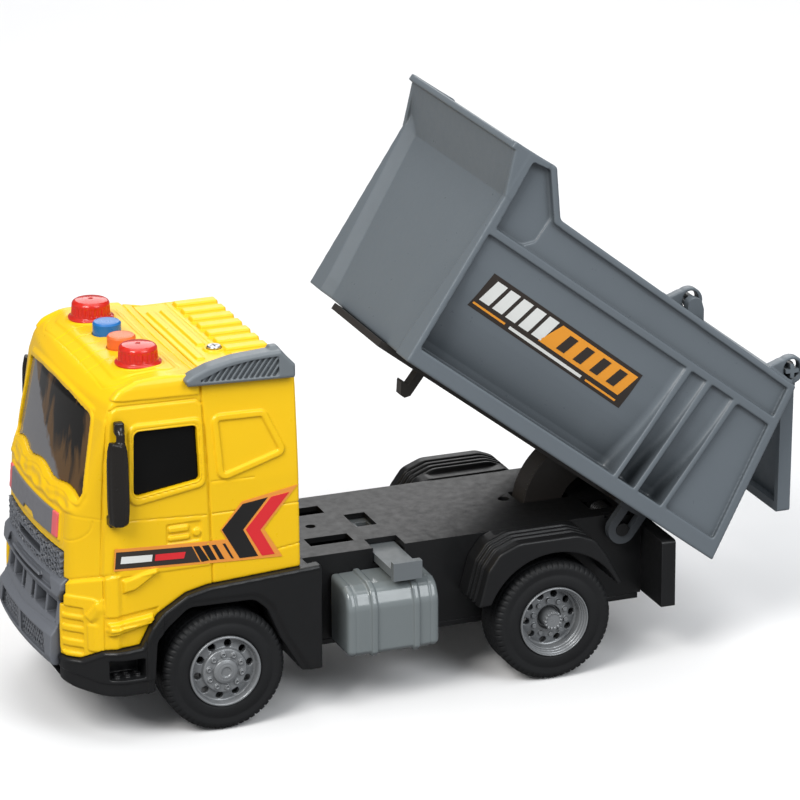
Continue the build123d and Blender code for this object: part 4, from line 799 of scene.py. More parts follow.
# ------------------------------------------------------------------ black lower cab
def add_lower_cab():
    grid = Grid(by_quality(0.34), (-46.6, 46.6), (-112.4, -23.2), (15.6, 54.4))
    x, y, z = grid.axes
    abs_x = np.abs(x)
    # outer and inner plans: |x|, y
    outer = outline(abs_x, y, round_corners(
        [(45.0, 60), (45.0, -93.5), (33.0, -107.4), (14, -109.6), (0, -110.4), (-20, -110.4),
         (-20, 60)], {1: 11, 2: 8}))
    inner = outline(abs_x, y, round_corners(
        [(41.6, 60), (41.6, -92.5), (31.0, -104.2), (14, -104.4), (-20, -104.4), (-20, 60)],
        {1: 9, 2: 6}))
    side = outline(y, z, round_corners(
        [(-112, 22.0), (-104, 18.4), (-98, 16.9), (-24.4, 16.9), (-24.4, 60), (-112, 60)],
        {0: 1.5, 1: 8, 2: 8}))
    below_seam = outline(y, z, CAB_SEAM + [(-10, 52.9), (-10, 0), (-125, 0), (-125, 28.4)])
    above_seam = outline(y, z, CAB_SEAM + [(-10, 52.9), (-10, 80), (-125, 80), (-125, 28.4)])
    arch = outline(y, z, ARCH)
    # flare around the arch, line along the seam and lower band
    relief = -0.7 * ramp(2.2 - arch, 1.8) * (z > 16) * (y > -83.6)
    relief = relief - 0.5 * ramp(np.abs(above_seam - 0.9) - 0.1, 0.8)
    band_z = 21.4 + np.clip(-98 - y, 0, 20) * 0.30
    relief = relief - 0.45 * ramp(band_z - z, 0.7) * (y < -78)
    relief = relief + 0.30 * ramp(np.abs(z - band_z) - 0.15, 0.6) * (y < -78)
    body = overlap(overlap(outer + relief, below_seam + 0.02, 0.7), side, 1.2)
    body = within(carve(body, inner), y + 24.4)
    body = carve(body, arch, 0.9)
    lining = carve(outline(y, z, ARCH_LINING), arch)
    body = union(body, within(lining, slab(abs_x, 26.6, 43.0), below_seam))
    floors = union(grid.box(-41.7, 41.7, -37.0, -26.0, 48.25, 50.0),
                   grid.box(-41.7, 41.7, -94.0, -84.0, 27.4, 29.2))
    body = carve(union(body, floors), grid.box(*CENTRE_HOLLOW))
    # step with a recess and small studs
    step = within(slab(abs_x, 35.6, 43.4), slab(y, -96.0, -82.4), slab(z, 17.2, 30.2))
    body = union(body, within(step, outer))
    recess = within(slab(abs_x, 37.2, 60), rect(y, z, -89.9, 26.1, 5.7, 3.3, 0.5))
    body = carve(body, recess, 0.5)
    for i in range(3):
        for j in range(2):
            stud = disc(abs_x - 40.0 - j * 2.3, y + 92.8 - i * 3.4, 0, 0, 1.0)
            body = union(body, within(stud, slab(z, 22.0, 23.8)), 0.3)
    body = carve(body, grid.box(-28.9, 28.9, -115, -102.9, 20, 60))
    # clear the cab above, then add drilled pads under it
    body = carve(body, within(cab_shape(grid), above_seam + 0.03))
    pads = within(slab(abs_x, 33, 41.6), slab(y, -45, -35), slab(z, 51.2, 53.3))
    body = carve(union(body, pads), disc(abs_x, y, 37, -40, 1.3))
    add_field(grid, body, "lower_cab", "cab_base", "black_plastic")


# ------------------------------------------------------------------ grille and bumper insert
def cell_web(x, z):
    """1 along the borders of scattered cells."""
    rng = np.random.default_rng(11)
    centres = [(across + rng.uniform(-0.75, 0.75), up + rng.uniform(-0.6, 0.6))
               for i, across in enumerate(np.arange(-30.5, 31, 2.3))
               for up in np.arange(53.2, 63.5, 1.9) + (0.95 if i % 2 else 0)]
    nearest = np.full((x.size, z.size), 1e9, np.float32)
    second = nearest.copy()
    flat_x, flat_z = x[:, 0, 0][:, None], z[0, 0][None, :]
    for centre_x, centre_z in centres:
        distance = np.sqrt((flat_x - centre_x) ** 2 + (flat_z - centre_z) ** 2)
        second = np.minimum(np.maximum(distance, nearest), second)
        nearest = np.minimum(distance, nearest)
    return ramp((second - nearest) / 2 - 0.30, 0.35)[:, None, :]


def grille_mesh(x, z, depth):
    """Web of cells with a framed level slot."""
    area = within(np.abs(x) - 28.6, slab(z, 53.0, 62.6))
    mesh = within(area, -107.2 - depth - 1.3 * cell_web(x, z), depth + 104.8)
    mesh = carve(mesh, within(rect(x, z, 0.0, 58.0, 11.8, 1.5, 0.3), depth + 106.2))
    rim = within(np.abs(rect(x, z, 0.0, 58.0, 12.1, 1.8, 0.4)) - 0.35,
                 slab(depth, -108.4, -104.8))
    return union(mesh, rim)


def grille_bar(x, z, depth):
    """Cross bar between the grille and the lower insert."""
    bar = outline(depth, z, round_corners(
        [(-104.2, 54.4), (-107.6, 54.4), (-109.6, 52.6), (-110.4, 48.4), (-109.2, 46.0),
         (-104.2, 46.0)], {1: 0.8, 2: 1.2, 3: 0.8, 4: 0.8}))
    half_width = 31.1 - np.clip((50.6 - z) * 0.5, 0, 3)
    bar = overlap(bar, np.abs(x) - half_width, 0.6)
    recess = round_corners([(-21, 52.8), (22, 52.8), (25.0, 48.9), (-23.4, 48.9)],
                           {0: 0.4, 1: 0.4, 2: 0.4, 3: 0.4})
    bar = carve(bar, within(outline(x, z, recess), depth + 108.9), 0.3)
    strip = outline(x, z, [(-14, 51.4), (14, 51.4), (15, 50.3), (-15, 50.3)])
    return union(bar, within(strip, slab(depth, -110.3, -108)), 0.3)


def bumper_insert(x, z, depth):
    """Lower insert: upright openings above a recess filled by a lattice."""
    low = outline(depth, z, round_corners(
        [(-103.0, 46.4), (-108.4, 46.4), (-109.4, 39.4), (-110.8, 36.4), (-112.4, 34.6),
         (-112.9, 27.6), (-111.9, 24.4), (-103.0, 24.4)],
        {1: 0.6, 2: 0.6, 3: 0.6, 4: 0.9, 5: 0.9, 6: 1.2}))
    low = overlap(low, np.abs(x) - 28.6, 0.4)
    for x0, x1 in ((-25.9, -18.6), (-16.8, -7.6), (-6.2, -3.3), (3.3, 6.2), (7.6, 16.8),
                   (18.2, 25.6)):
        opening = rect(x, z, (x0 + x1) / 2, 42.0, (x1 - x0) / 2, 2.9, 0.3)
        low = carve(low, within(opening, depth + 104.9), 0.25)
    recess = [(-22.6, 33.8), (22.6, 33.8), (24.6, 27.0), (-24.6, 27.0)]
    rounded = outline(x, z, round_corners(recess, {0: 0.6, 1: 0.6, 2: 0.6, 3: 0.6}))
    low = carve(low, within(rounded, depth + 109.0), 0.3)
    pitch = 2.1
    diagonals = np.minimum(np.abs(((x + z * 0.6) / pitch) % 1.0 - 0.5),
                           np.abs(((x - z * 0.6) / pitch) % 1.0 - 0.5)) * pitch
    lattice = within(diagonals - 0.30, slab(depth, -111.4, -108.6), outline(x, z, recess))
    low = union(low, lattice)
    post = within(rect(x, z, 0.0, 30.4, 1.3, 3.6, 0.4), slab(depth, -112.4, -108.5))
    low = union(low, post, 0.3)
    crease = np.abs(z - (36.4 + 0.05 * np.abs(x))) - 0.12
    low = low + 0.22 * ramp(crease, 0.5)
    for side in (-1, 1):
        low = low + 0.4 * ramp(disc(x, z, side * 26.4, 38.2, 0.4), 0.3)
    return low


def add_grille():
    grid = Grid(by_quality(0.27), (-33.0, 33.0), (-114.0, -101.6), (23.2, 64.0))
    x, y, z = grid.axes
    depth = bowed(x, y)
    body = union(grille_mesh(x, z, depth), grille_bar(x, z, depth))
    body = union(body, bumper_insert(x, z, depth))
    body = carve(body, grid.box(*CENTRE_HOLLOW))
    add_field(grid, body, "front_insert", "grille", "grille_grey")


# ------------------------------------------------------------------ battery door
def add_roof_door():
    grid = Grid(by_quality(0.27), (-39.6, 35.0), (-60.4, -30.9), (114.4, 121.2))
    x, y, z = grid.axes
    screw_x, screw_y = 13.7, -48.9
    body = carve(grid.box(-38.6, 34.0, -59.4, -31.9, 115.2, 118.6, 0.45),
                 grid.box(-37.0, 32.4, -57.8, -33.5, 110, 117.0))
    boss = within(disc(x, y, screw_x, screw_y, 3.2), slab(z, 115.2, 119.3))
    body = union(body, boss, 1.0)
    for x0, x1, y0, y1 in ((-30, 22, -57.4, -54.6), (-30, 8.5, -52.8, -50.0)):
        body = union(body, grid.box(x0, x1, y0, y1, 117.2, 119.3, 0.5), 0.5)
    for i in range(8):
        rib_x = -36.0 + i * 8.2
        body = union(body, grid.box(rib_x, rib_x + 4.6, -46.4, -31.9, 117.2, 119.9, 0.7), 0.5)
    body = body + 0.25 * ramp(np.abs(y + 48.2) - 0.15, 0.4) * (z > 118.2) * (x < 9)
    body = carve(body, disc(x, y, screw_x, screw_y, 1.25))
    body = carve(body, within(disc(x, y, screw_x, screw_y, 2.55), 118.2 - z))
    add_field(grid, body, "roof_door", "battery_door", "cab_yellow")


# ------------------------------------------------------------------ louvred fairing
def add_fairing():
    grid = Grid(by_quality(0.25), (36.6, 45.0), (-70.0, -30.6), (114.6, 128.0))
    x, y, z = grid.axes
    form = outline(y, z, round_corners(
        [(-68.6, 119.6), (-67.6, 117.6), (-32.2, 116.4), (-31.8, 117.2), (-31.8, 120.8),
         (-36.6, 126.0), (-41.5, 125.9), (-52.0, 125.2), (-60.5, 123.4), (-66.0, 121.2)],
        {0: 0.8, 1: 0.6, 2: 0.6, 5: 1.0, 7: 12, 8: 10, 9: 6}))
    body = overlap(form, slab(x, 37.6, 43.9), 1.3)
    opening = outline(y, z, round_corners(
        [(-65.0, 118.9), (-37.4, 117.8), (-37.4, 124.2), (-46.0, 124.0), (-55.0, 122.7)],
        {0: 0.4, 1: 0.6, 2: 0.6, 3: 6, 4: 8}))
    body = carve(body, within(opening, 42.7 - x), 0.3)
    pitch = 1.95
    louvres = np.abs((((y + (126 - z) * 0.72) / pitch) % 1.0) - 0.5) * pitch
    bars = within(louvres - 0.45, opening - 0.2, slab(x, 42.2, 43.55))
    body = union(body, bars, 0.25)
    block = round_corners([(-41.8, 122), (-39.4, 126.8), (-36.8, 126.8), (-33.0, 121.6)],
                          {1: 0.8, 2: 1.0})
    body = union(body, overlap(outline(y, z, block), slab(x, 37.6, 40.6), 0.6), 0.5)
    body = carve(body, cab_shape(grid) - 0.03)
    add_field(grid, body, "roof_fairing", "fairing_left", "fairing_grey")


# ------------------------------------------------------------------ mirrors
def rod(grid, start, end, radius):
    """Round-ended rod between two points."""
    start = np.array(start)
    edge = np.array(end) - start
    offset = [axis - near for axis, near in zip(grid.axes, start)]
    dot = offset[0] * edge[0] + offset[1] * edge[1] + offset[2] * edge[2]
    along = np.clip(dot / float(edge @ edge), 0, 1)
    x, y, z = (away - step * along for away, step in zip(offset, edge))
    return np.sqrt(x ** 2 + y ** 2 + z ** 2) - radius


def add_mirrors():
    grid = Grid(by_quality(0.25), (40.6, 50.2), (-97.0, -87.4), (73.8, 110.6))
    x, y, z = grid.axes
    bottom, top = 75.6, 103.6
    rise = (z - bottom) / (top - bottom)
    taper = 0.7 * np.abs(2 * rise - 1) ** 4 + 0.2 * rise
    plan = outline(x, y, round_corners(
        [(44.2, -89.4), (47.6, -88.7), (49.3, -91.2), (48.7, -94.6), (45.4, -95.9),
         (43.9, -93.5)], {0: 0.3, 1: 0.6, 2: 0.7, 3: 0.7, 4: 0.5, 5: 0.3}))
    body = overlap(plan + taper, z - (104.2 - 0.28 * (y + 95.6)), 0.7)
    body = overlap(body, bottom - z, 1.4)
    body = body - (0.22 * ramp(np.abs(x - 46.6) - 0.25, 0.8)
                   * ramp(np.abs(rise - 0.5) - 0.42, 0.1))
    # bent arm: x, y, z
    bends = [(44.2, -90.8, 107.0), (45.6, -90.8, 105.4), (46.2, -91.0, 102.6),
             (46.2, -91.6, 100.5)]
    arm = reduce(np.minimum, (rod(grid, *ends, radius=1.4) for ends in zip(bends, bends[1:])))
    body = union(body, arm, 0.8)
    body = union(body, grid.box(42.5, 45.3, -92.4, -89.2, 105.4, 109.4, 0.7), 0.8)
    body = union(body, grid.box(41.4, 45.4, -95.0, -92.2, 75.0, 78.4, 0.5), 0.6)
    # clear the cab with its raised door
    body = carve(body, cab_shape(grid) - 0.06 - SIDE_RELIEF_GAIN * DOOR_RAISE)
    add_pair(grid, body, "side_mirror", "mirror", "mirror_brown")


# ------------------------------------------------------------------ dump bed
def raise_points(points):
    """Turn lowered points about the bed's pivot."""
    y, z = points[:, 1] - PIVOT_Y, points[:, 2] - PIVOT_Z
    cosine, sine = math.cos(TILT), math.sin(TILT)
    return np.stack((points[:, 0], PIVOT_Y + y * cosine + z * sine,
                     PIVOT_Z - y * sine + z * cosine), 1)


def lean(z):
    """The y of the bed's leaning front face."""
    return BED_FRONT + BED_LEAN * (z - BED_BOTTOM) / BED_LEAN_RISE


def bed_load_space(abs_x, y, z):
    across = outline(abs_x, z, round_corners(
        [(-20, 140), (-20, 56.5), (32.0, 56.5), (34.3, 60.5), (36.7, 66.5), (39.2, 74),
         (40.8, 82), (41.8, 92), (41.8, 140)], {2: 4, 3: 10, 4: 12, 5: 12, 6: 12, 7: 20}))
    along = outline(y, z, round_corners(
        [(-18.4, 56.5), (-22.6, 114.0), (-36, 133.0), (-36, 140), (150, 140), (150, 76.7),
         (76, 56.5)], {0: 3, 1: 6, 6: 30}))
    return overlap(across, along, 3.0)


def bed_front(body, abs_x, y, z):
    """Sets the front panel back between side flanges and adds the canopy with its cheeks."""
    setback = 3.0
    panel_half = 35.4 + 7.8 * np.clip((z - 58.0) / 56.0, 0, 1)
    depth = setback * np.clip((panel_half - abs_x) / 5.0, 0, 1)
    body = overlap(body, (lean(z) + depth) - y, 0.4)
    canopy = round_corners(
        [(lean(113.4) + setback, 113.0), (-33.4, 126.9), (-35.0, 127.0), (-35.0, 129.3),
         (-31.4, 129.3), (lean(114) + setback + 1.9, 113.6)],
        {0: 2, 1: 1, 2: 0.6, 3: 0.6, 4: 1, 5: 2})
    body = union(body, within(outline(y, z, canopy), abs_x - 43.6), 0.7)
    cheek = [(lean(113.4), 113.4), (-33.4, 126.9), (-35.0, 127.0), (-35.0, 129.3),
             (-20, 129.9), (-20, 113.4)]
    return union(body, within(outline(y, z, cheek), slab(abs_x, 43.2, BED_HALF)), 0.4)


def bed_side_recesses(body, abs_x, y, z):
    """Sinks the outer faces of the side walls."""
    upper = outline(y, z, round_corners(
        [(-23.0, 103.2), (-25.6, 127.0), (-18.9, 128.0), (-6.9, 114.7), (100.0, 113.4),
         (101.8, 103.0)], {0: 0.5, 1: 0.6, 2: 1.0, 3: 2.5, 4: 0.5, 5: 0.5}))
    body = carve(body, within(upper, 43.4 - abs_x), 0.25)
    front = outline(y, z, round_corners(
        [(-23.0, 103.2), (-25.6, 127.0), (-18.9, 128.0), (-8.2, 116.0), (-8.0, 106.6),
         (-11.4, 103.2)], {0: 0.5, 1: 0.6, 2: 1.0, 3: 2.5, 4: 3.0, 5: 3.0}))
    body = carve(body, within(front, 42.6 - abs_x), 0.4)
    # curved scoops with upright ribs left between them
    along = outline(y, z, round_corners([(-21.2, 58.0), (-24.2, 100.4), (90.3, 100.4),
                                         (90.3, 58.0)], {0: 1.0, 1: 0.4}))
    across = outline(abs_x, z, round_corners(
        [(60, 110), (43.5, 110), (43.5, 98), (43.3, 91), (42.4, 82), (40.6, 74),
         (38.2, 66.5), (36.4, 61.0), (36.0, 58.0), (36.0, 48.0), (60, 48.0)],
        {3: 20, 4: 30, 5: 24, 6: 18, 7: 4.5}))
    scoops = overlap(overlap(across, y - 64.1, 3.0), along, 0.4)
    for centre_y, half in ((69.55, 3.65), (80.3, 5.2)):
        scoop = overlap(overlap(across, np.abs(y - centre_y) - half, 2.6), along, 0.4)
        scoops = union(scoops, scoop)
    body = carve(body, scoops, 0.22)
    rear = outline(y, z, round_corners([(87.4, 99.9), (102.0, 99.9), (109.6, 58.4),
                                        (87.4, 58.4)], {0: 0.8, 1: 0.8, 2: 0.8, 3: 0.8}))
    return carve(body, within(rear, 43.5 - abs_x), 0.22)


def bed_hinge_rings(body, abs_x, y, z):
    """Adds C-shaped rings on the rear top edge and cuts their holes."""
    ear = outline(y, z, round_corners(
        [(90.2, 114.0), (94.0, 120.0), (96.6, 122.2), (99.2, 122.0), (103.0, 116.0),
         (101.8, 112.0)], {1: 2.0, 2: 2.5, 3: 1}))
    reach = np.sqrt((y - HINGE_Y) ** 2 + (z - HINGE_Z) ** 2)
    ring = overlap(union(ear, reach - 4.9), slab(abs_x, 38.3, 41.9), 0.5)
    bridge = within(slab(abs_x, 41.5, 43.5), slab(y, 90.6, 101.4), slab(z, 112.0, 116.4))
    body = union(body, union(ring, bridge), 0.4)
    notch = np.sqrt((y - HINGE_Y + 0.35) ** 2 + (z - HINGE_Z - 0.85) ** 2) - 2.9
    return carve(body, union(reach - HINGE_RADIUS - 0.35, notch))


def add_bed():
    grid = Grid(by_quality(0.38), (-46.4, 46.4), (-37.2, 115.4), (51.2, 132.2))
    x, y, z = grid.axes
    abs_x = np.abs(x)
    side = outline(y, z, round_corners(
        [(BED_FRONT, BED_BOTTOM), (lean(128.8), 128.8), (-17.6, 130.2), (-5.7, 116.9),
         (102.4, 115.5), (BED_REAR, BED_BOTTOM)], {2: 1.8, 3: 3.0, 4: 0.8}))
    body = overlap(side, abs_x - BED_HALF, 0.7)
    body = carve(body, bed_load_space(abs_x, y, z), 0.8)
    body = bed_front(body, abs_x, y, z)
    body = bed_side_recesses(body, abs_x, y, z)
    # hollow underside, between and inside the side walls
    hollow = outline(y, z, round_corners([(-17.2, 50), (-17.2, 54.7), (76.0, 54.7),
                                          (109.8, 63.9), (112.0, 50)], {1: 0.8, 2: 10}))
    body = carve(body, within(hollow, abs_x - 35.2))
    body = carve(body, within(slab(abs_x, 36.9, 43.6), slab(y, -19.0, 110.0), z - 56.4))
    body = bed_hinge_rings(body, abs_x, y, z)
    return add_field(grid, body, "dump_bed", "bed_body", "bed_grey", body="bed",
                     place=raise_points)


# ------------------------------------------------------------------ fenders and tanks
def add_fenders():
    grid = Grid(by_quality(0.33), (25.6, 46.0), (29.0, 82.4), (29.6, 51.2))
    x, y, z = grid.axes
    outer = outline(y, z, round_corners(
        [(30.2, 29.4), (33.4, 41.5), (37.6, 47.2), (44.6, 50.0), (65.0, 50.0), (71.2, 47.6),
         (75.4, 41.6), (81.0, 31.0), (77.6, 30.6), (57.2, 24), (34.2, 29.6)],
        {2: 5, 3: 7, 4: 7, 5: 6, 1: 5}))
    inner = round_corners(
        [(32.2, 20), (34.6, 40.6), (38.6, 45.8), (45.0, 48.4), (64.6, 48.4), (70.2, 46.2),
         (74.0, 41.0), (79.5, 20)], {2: 4, 3: 6, 4: 6, 5: 5})
    body = overlap(outer, slab(x, 26.45, 45.1), 0.9)
    body = carve(body, within(outline(y, z, inner), slab(x, 31.8, 43.6)))
    # the inboard part is hollowed less high
    body = carve(body, within(outline(y, z + 1.7, inner), slab(x, 26.0, 31.9)))
    body = carve(body, disc(y, z, REAR_AXLE_Y, TYRE_RADIUS, 24.4), 0.6)
    for i in range(3):
        groove_x = 33.2 + i * 3.1 + 0.75
        body = carve(body, within(np.abs(x - groove_x) - 0.62, -(outer + 0.85)), 0.5)
    body = carve(body, within(slab(y, 20, 90), x - 31.6, 48.6 - z))
    add_pair(grid, body, "fender", "rear_fender", "black_plastic")


def add_tanks():
    grid = Grid(by_quality(0.3), (25.6, 45.6), (-16.0, 17.8), (16.8, 43.0))
    x, y, z = grid.axes
    corners = {1: 0.8, 2: 0.8, 3: 5, 4: 5}
    tank = outline(x, z, round_corners(
        [(26.5, 18.2), (42.6, 18.2), (43.9, 19.6), (43.9, 35.0), (41.6, 39.6), (38.4, 41.0),
         (26.5, 41.4)], corners))
    from_middle = np.abs(y - 0.9)
    body = overlap(tank, from_middle - 15.9, 2.0)
    body = body + 0.35 * ramp(np.abs(from_middle - 12.9) - 0.15, 0.6)
    strap = outline(x, z, round_corners(
        [(26.5, 17.5), (43.0, 17.5), (44.7, 19.2), (44.7, 35.2), (42.2, 40.3), (38.6, 41.8),
         (26.5, 42.2)], corners))
    for strap_y in (-5.9, 8.7):
        body = union(body, overlap(strap, np.abs(y - strap_y) - 1.1, 0.6), 0.35)
    body = within(body, 26.5 - x)
    inner = outline(x, z, [(26.0, 20.0), (41.8, 20.0), (42.1, 35.0), (39.6, 38.6),
                           (37, 39.4), (26.0, 39.6)])
    body = carve(body, within(inner, from_middle - 14.1))
    add_pair(grid, body, "tank", "fuel_tank", "tank_grey")


# ------------------------------------------------------------------ wheels
# End, side, axle y, sign of x
WHEELS = (("front", "left", FRONT_AXLE_Y, 1), ("front", "right", FRONT_AXLE_Y, -1),
          ("rear", "left", REAR_AXLE_Y, 1), ("rear", "right", REAR_AXLE_Y, -1))


def at_wheel(points, axle_y, sign):
    return points * np.array((sign, 1, 1)) + np.array((0, axle_y, TYRE_RADIUS))


def lathe(profile, count, shaped_radius):
    """Closed (along, radius) outline turned about x; shaped_radius alters each radius."""
    size = len(profile)
    angle = (np.arange(count) * TAU / count)[:, None]
    along = np.array([point[0] for point in profile])[None, :] + 0 * angle
    radius = np.array([point[1] for point in profile])[None, :] + 0 * angle
    radius = shaped_radius(along, radius, angle)
    points = np.stack((along, radius * np.cos(angle), radius * np.sin(angle)), 2)
    i, j = np.meshgrid(np.arange(count), np.arange(size), indexing="ij")
    next_i, next_j = (i + 1) % count, (j + 1) % size
    quads = np.stack((i * size + j, i * size + next_j, next_i * size + next_j,
                      next_i * size + j), 2)
    return points.reshape(-1, 3), quads.reshape(-1, 4)


def tyre_profile(inner_x, outer_x):
    """Bore, side walls with a raised ring, rounded shoulders and tread: x, radius."""
    shoulder = 2.6
    # side wall: distance in from the tyre's face, height over the rim
    wall = [(0.6, 0.01), (0.15, 0.3), (0, 1.2), (0, 3.5), (0.25, 3.9), (0.25, 4.6)]
    turns = [math.radians(degrees) for degrees in np.linspace(0, 90, 9)]
    curve = [(shoulder - shoulder * math.cos(turn),
              TYRE_RADIUS - shoulder + shoulder * math.sin(turn)) for turn in turns]
    half = [(inset, RIM_RADIUS + height) for inset, height in wall] + curve
    profile = [(inner_x + inset, radius) for inset, radius in half]
    profile += [(x, TYRE_RADIUS) for x in np.linspace(inner_x + 3.2, outer_x - 3.2, 25)]
    profile += [(outer_x - inset, radius) for inset, radius in reversed(half)]
    bore = np.linspace(outer_x - 0.6, inner_x + 0.6, 8)[1:-1]
    return profile + [(x, RIM_RADIUS + 0.01) for x in bore]


def add_tyres():
    inner_x = TYRE_OUTER_X - TYRE_WIDTH
    middle_x = (TYRE_OUTER_X + inner_x) / 2
    pitches = 60

    def tread(along, radius, angle):
        across = (along - middle_x) / (TYRE_WIDTH / 2)
        out = np.abs(across)
        top = np.clip((radius - (TYRE_RADIUS - 2.2)) / 1.2, 0, 1)
        phase = (angle * pitches / TAU + 0.35 * out) % 1.0
        edge_grooves = (ramp(np.abs(phase - 0.5) - 0.13, 0.12)
                        * np.clip((out - 0.62) / 0.10, 0, 1))
        round_grooves = ramp(np.abs(out - 0.52) - 0.035, 0.04) + ramp(out - 0.03, 0.04)
        phase = (angle * pitches / TAU + 0.5 * across) % 1.0
        slits = (ramp(np.abs(phase - 0.5) - 0.05, 0.08)
                 * ramp(np.abs(out - 0.28) - 0.16, 0.05))
        return radius - top * (0.45 * edge_grooves + 0.4 * round_grooves + 0.25 * slits)

    points, quads = lathe(tyre_profile(inner_x, TYRE_OUTER_X), by_quality(480), tread)
    for end, side, axle_y, sign in WHEELS:
        add_mesh("tyre_" + end[0] + side[0], at_wheel(points, axle_y, sign), quads,
                 "tyre_rubber", end + "_axle_set", f"{end}_tyre_{side}")


# Rim sections: x from the rim face, radius
FRONT_RIM = [
    (-15.0, 10.6), (-15.0, RIM_RADIUS), (-0.2, RIM_RADIUS), (0.1, 11.8), (0.1, 11.3),
    (-0.5, 11.0), (-2.4, 10.8), (-2.6, 10.2), (-2.0, 7.6), (-1.0, 7.4), (-0.7, 7.1),
    (-0.7, 4.3), (0.1, 4.0), (0.5, 3.0), (0.6, 1.7), (0.2, 1.6), (0.2, -1.0), (-5.0, -1.0),
    (-5.0, 1.5), (-14.0, 1.5), (-14.0, 3.2), (-4.2, 3.6), (-4.2, 10.4)]
FRONT_RIM_CORNERS = {3: 0.25, 4: 0.25, 6: 0.5, 8: 0.5, 9: 0.3, 10: 0.3, 12: 0.4, 13: 0.4,
                     14: 0.2}
REAR_RIM = [
    (-15.0, 10.6), (-15.0, RIM_RADIUS), (-0.2, RIM_RADIUS), (0.1, 11.8), (0.1, 11.5),
    (-0.9, 11.3), (-0.9, 11.0), (-1.9, 10.9), (-1.9, 10.6), (-3.0, 10.5), (-3.0, 10.2),
    (-5.6, 10.0), (-6.0, 9.4), (-5.2, 6.8), (-5.0, 4.2), (-6.8, 4.1), (-6.8, 3.2),
    (-1.6, 2.9), (-1.2, 2.6), (-1.2, -1.0), (-7.0, -1.0), (-7.0, 1.5), (-14.6, 1.5),
    (-14.6, 3.4), (-8.4, 3.6), (-8.0, 9.6)]
REAR_RIM_CORNERS = {3: 0.2, 12: 0.5, 13: 0.4}


def add_rims():
    half = 12.8
    grid = Grid(by_quality(0.19), (RIM_FACE_X - 15.8, RIM_FACE_X + 1.4),
                (-half, half), (-half, half))
    x, y, z = grid.axes
    radius = np.sqrt(y * y + z * z)[0]

    def turned(section, corners):
        """Distance to a section turned about the axle, read from a table."""
        step = 0.1
        section = [(RIM_FACE_X + along, out) for along, out in section]
        radii = np.arange(0, 19, step, dtype=np.float32)
        table = outline(x[:, 0, 0][:, None], radii[None, :], round_corners(section, corners))
        place = np.clip(radius / step, 0, len(radii) - 2.01)
        index = place.astype(np.int32)
        share = (place - index).astype(np.float32)
        return table[:, index] * (1 - share) + table[:, index + 1] * share

    def peg(angle, orbit, start, end, size):
        """Cylinder along x, between two distances from the rim face."""
        return within(disc(y, z, orbit * math.cos(angle), orbit * math.sin(angle), size),
                      slab(x, RIM_FACE_X + start, RIM_FACE_X + end))

    front = turned(FRONT_RIM, FRONT_RIM_CORNERS)
    for i in range(10):
        front = carve(front, peg(math.radians(36 * i + 8), 8.9, -6, 3, 1.2), 0.35)
        nut = math.radians(36 * i + 24)
        front = union(front, peg(nut, 5.7, -1.2, -0.05, 0.9), 0.35)
        front = carve(front, peg(nut, 5.7, -0.45, 3, 0.42), 0.15)
    front = front + 0.12 * ramp(np.abs(radius - 2.6) - 0.1, 0.25) * (x > RIM_FACE_X - 0.5)

    rear = turned(REAR_RIM, REAR_RIM_CORNERS)
    for i in range(10):
        rear = carve(rear, peg(math.radians(36 * i + 4), 8.1, -9, -3, 1.15), 0.3)
        rear = union(rear, peg(math.radians(36 * i + 22), 5.9, -6.0, -4.2, 0.8), 0.3)
    for i in range(14):
        rear = union(rear, peg(TAU / 14 * i, 2.75, -2.6, -0.9, 0.42), 0.15)

    fields = {"front": front, "rear": rear}
    for end, side, axle_y, sign in WHEELS:
        add_field(grid, fields[end], "rim_" + end[0] + side[0], f"{end}_rim_{side}",
                  "rim_silver", body=end + "_axle_set",
                  place=lambda points: at_wheel(points, axle_y, sign))


# ------------------------------------------------------------------ beacons
def add_beacons():
    """Thin fluted domes; their section is height over the base, radius."""
    section = [(-1.9, 4.9), (-0.05, 4.9), (0, 4.95), (0, 7.35), (0.15, 7.5), (0.55, 7.5),
               (0.7, 7.4), (0.95, 6.7), (1.25, 6.42)]
    section += [(z, 6.42 - 0.06 * (z - 1.25)) for z in np.linspace(1.4, 4.6, 10)]
    for degrees in np.linspace(8, 82, 8):
        turn = math.radians(degrees)
        section.append((4.7 + 1.45 * math.sin(turn), 4.6 + 1.6 * math.cos(turn)))
    section += [(6.3, 3.6), (6.42, 2.4), (6.48, 1.2), (6.5, 0.02), (5.2, 0.02), (5.1, 2.4),
                (4.9, 3.9), (4.2, 4.5), (1.5, 4.5), (1.0, 4.0), (-1.9, 4.0)]

    def fluted(along, radius, angle):
        band = ramp(np.abs(along - 3.1) - 1.35, 0.5) * (radius > 5.3)
        return radius - 0.34 * band * (0.5 + 0.5 * np.cos(24 * angle))

    points, quads = lathe(section, by_quality(288), fluted)
    upright = points[:, [1, 2, 0]]
    for side, sign in (("left", 1), ("right", -1)):
        centre = np.array((sign * BEACON_X, BEACON_Y, BEACON_BASE_Z))
        add_mesh("lamp_dome_" + side, upright + centre, quads, "beacon_red", "truck",
                 "beacon_" + side)


# ------------------------------------------------------------------ printed films
# Height of each printed layer over the surface
FILM_BASE, FILM_MARK, FILM_TOP = 0.06, 0.16, 0.27
DOOR_LEAST_X = 43.3

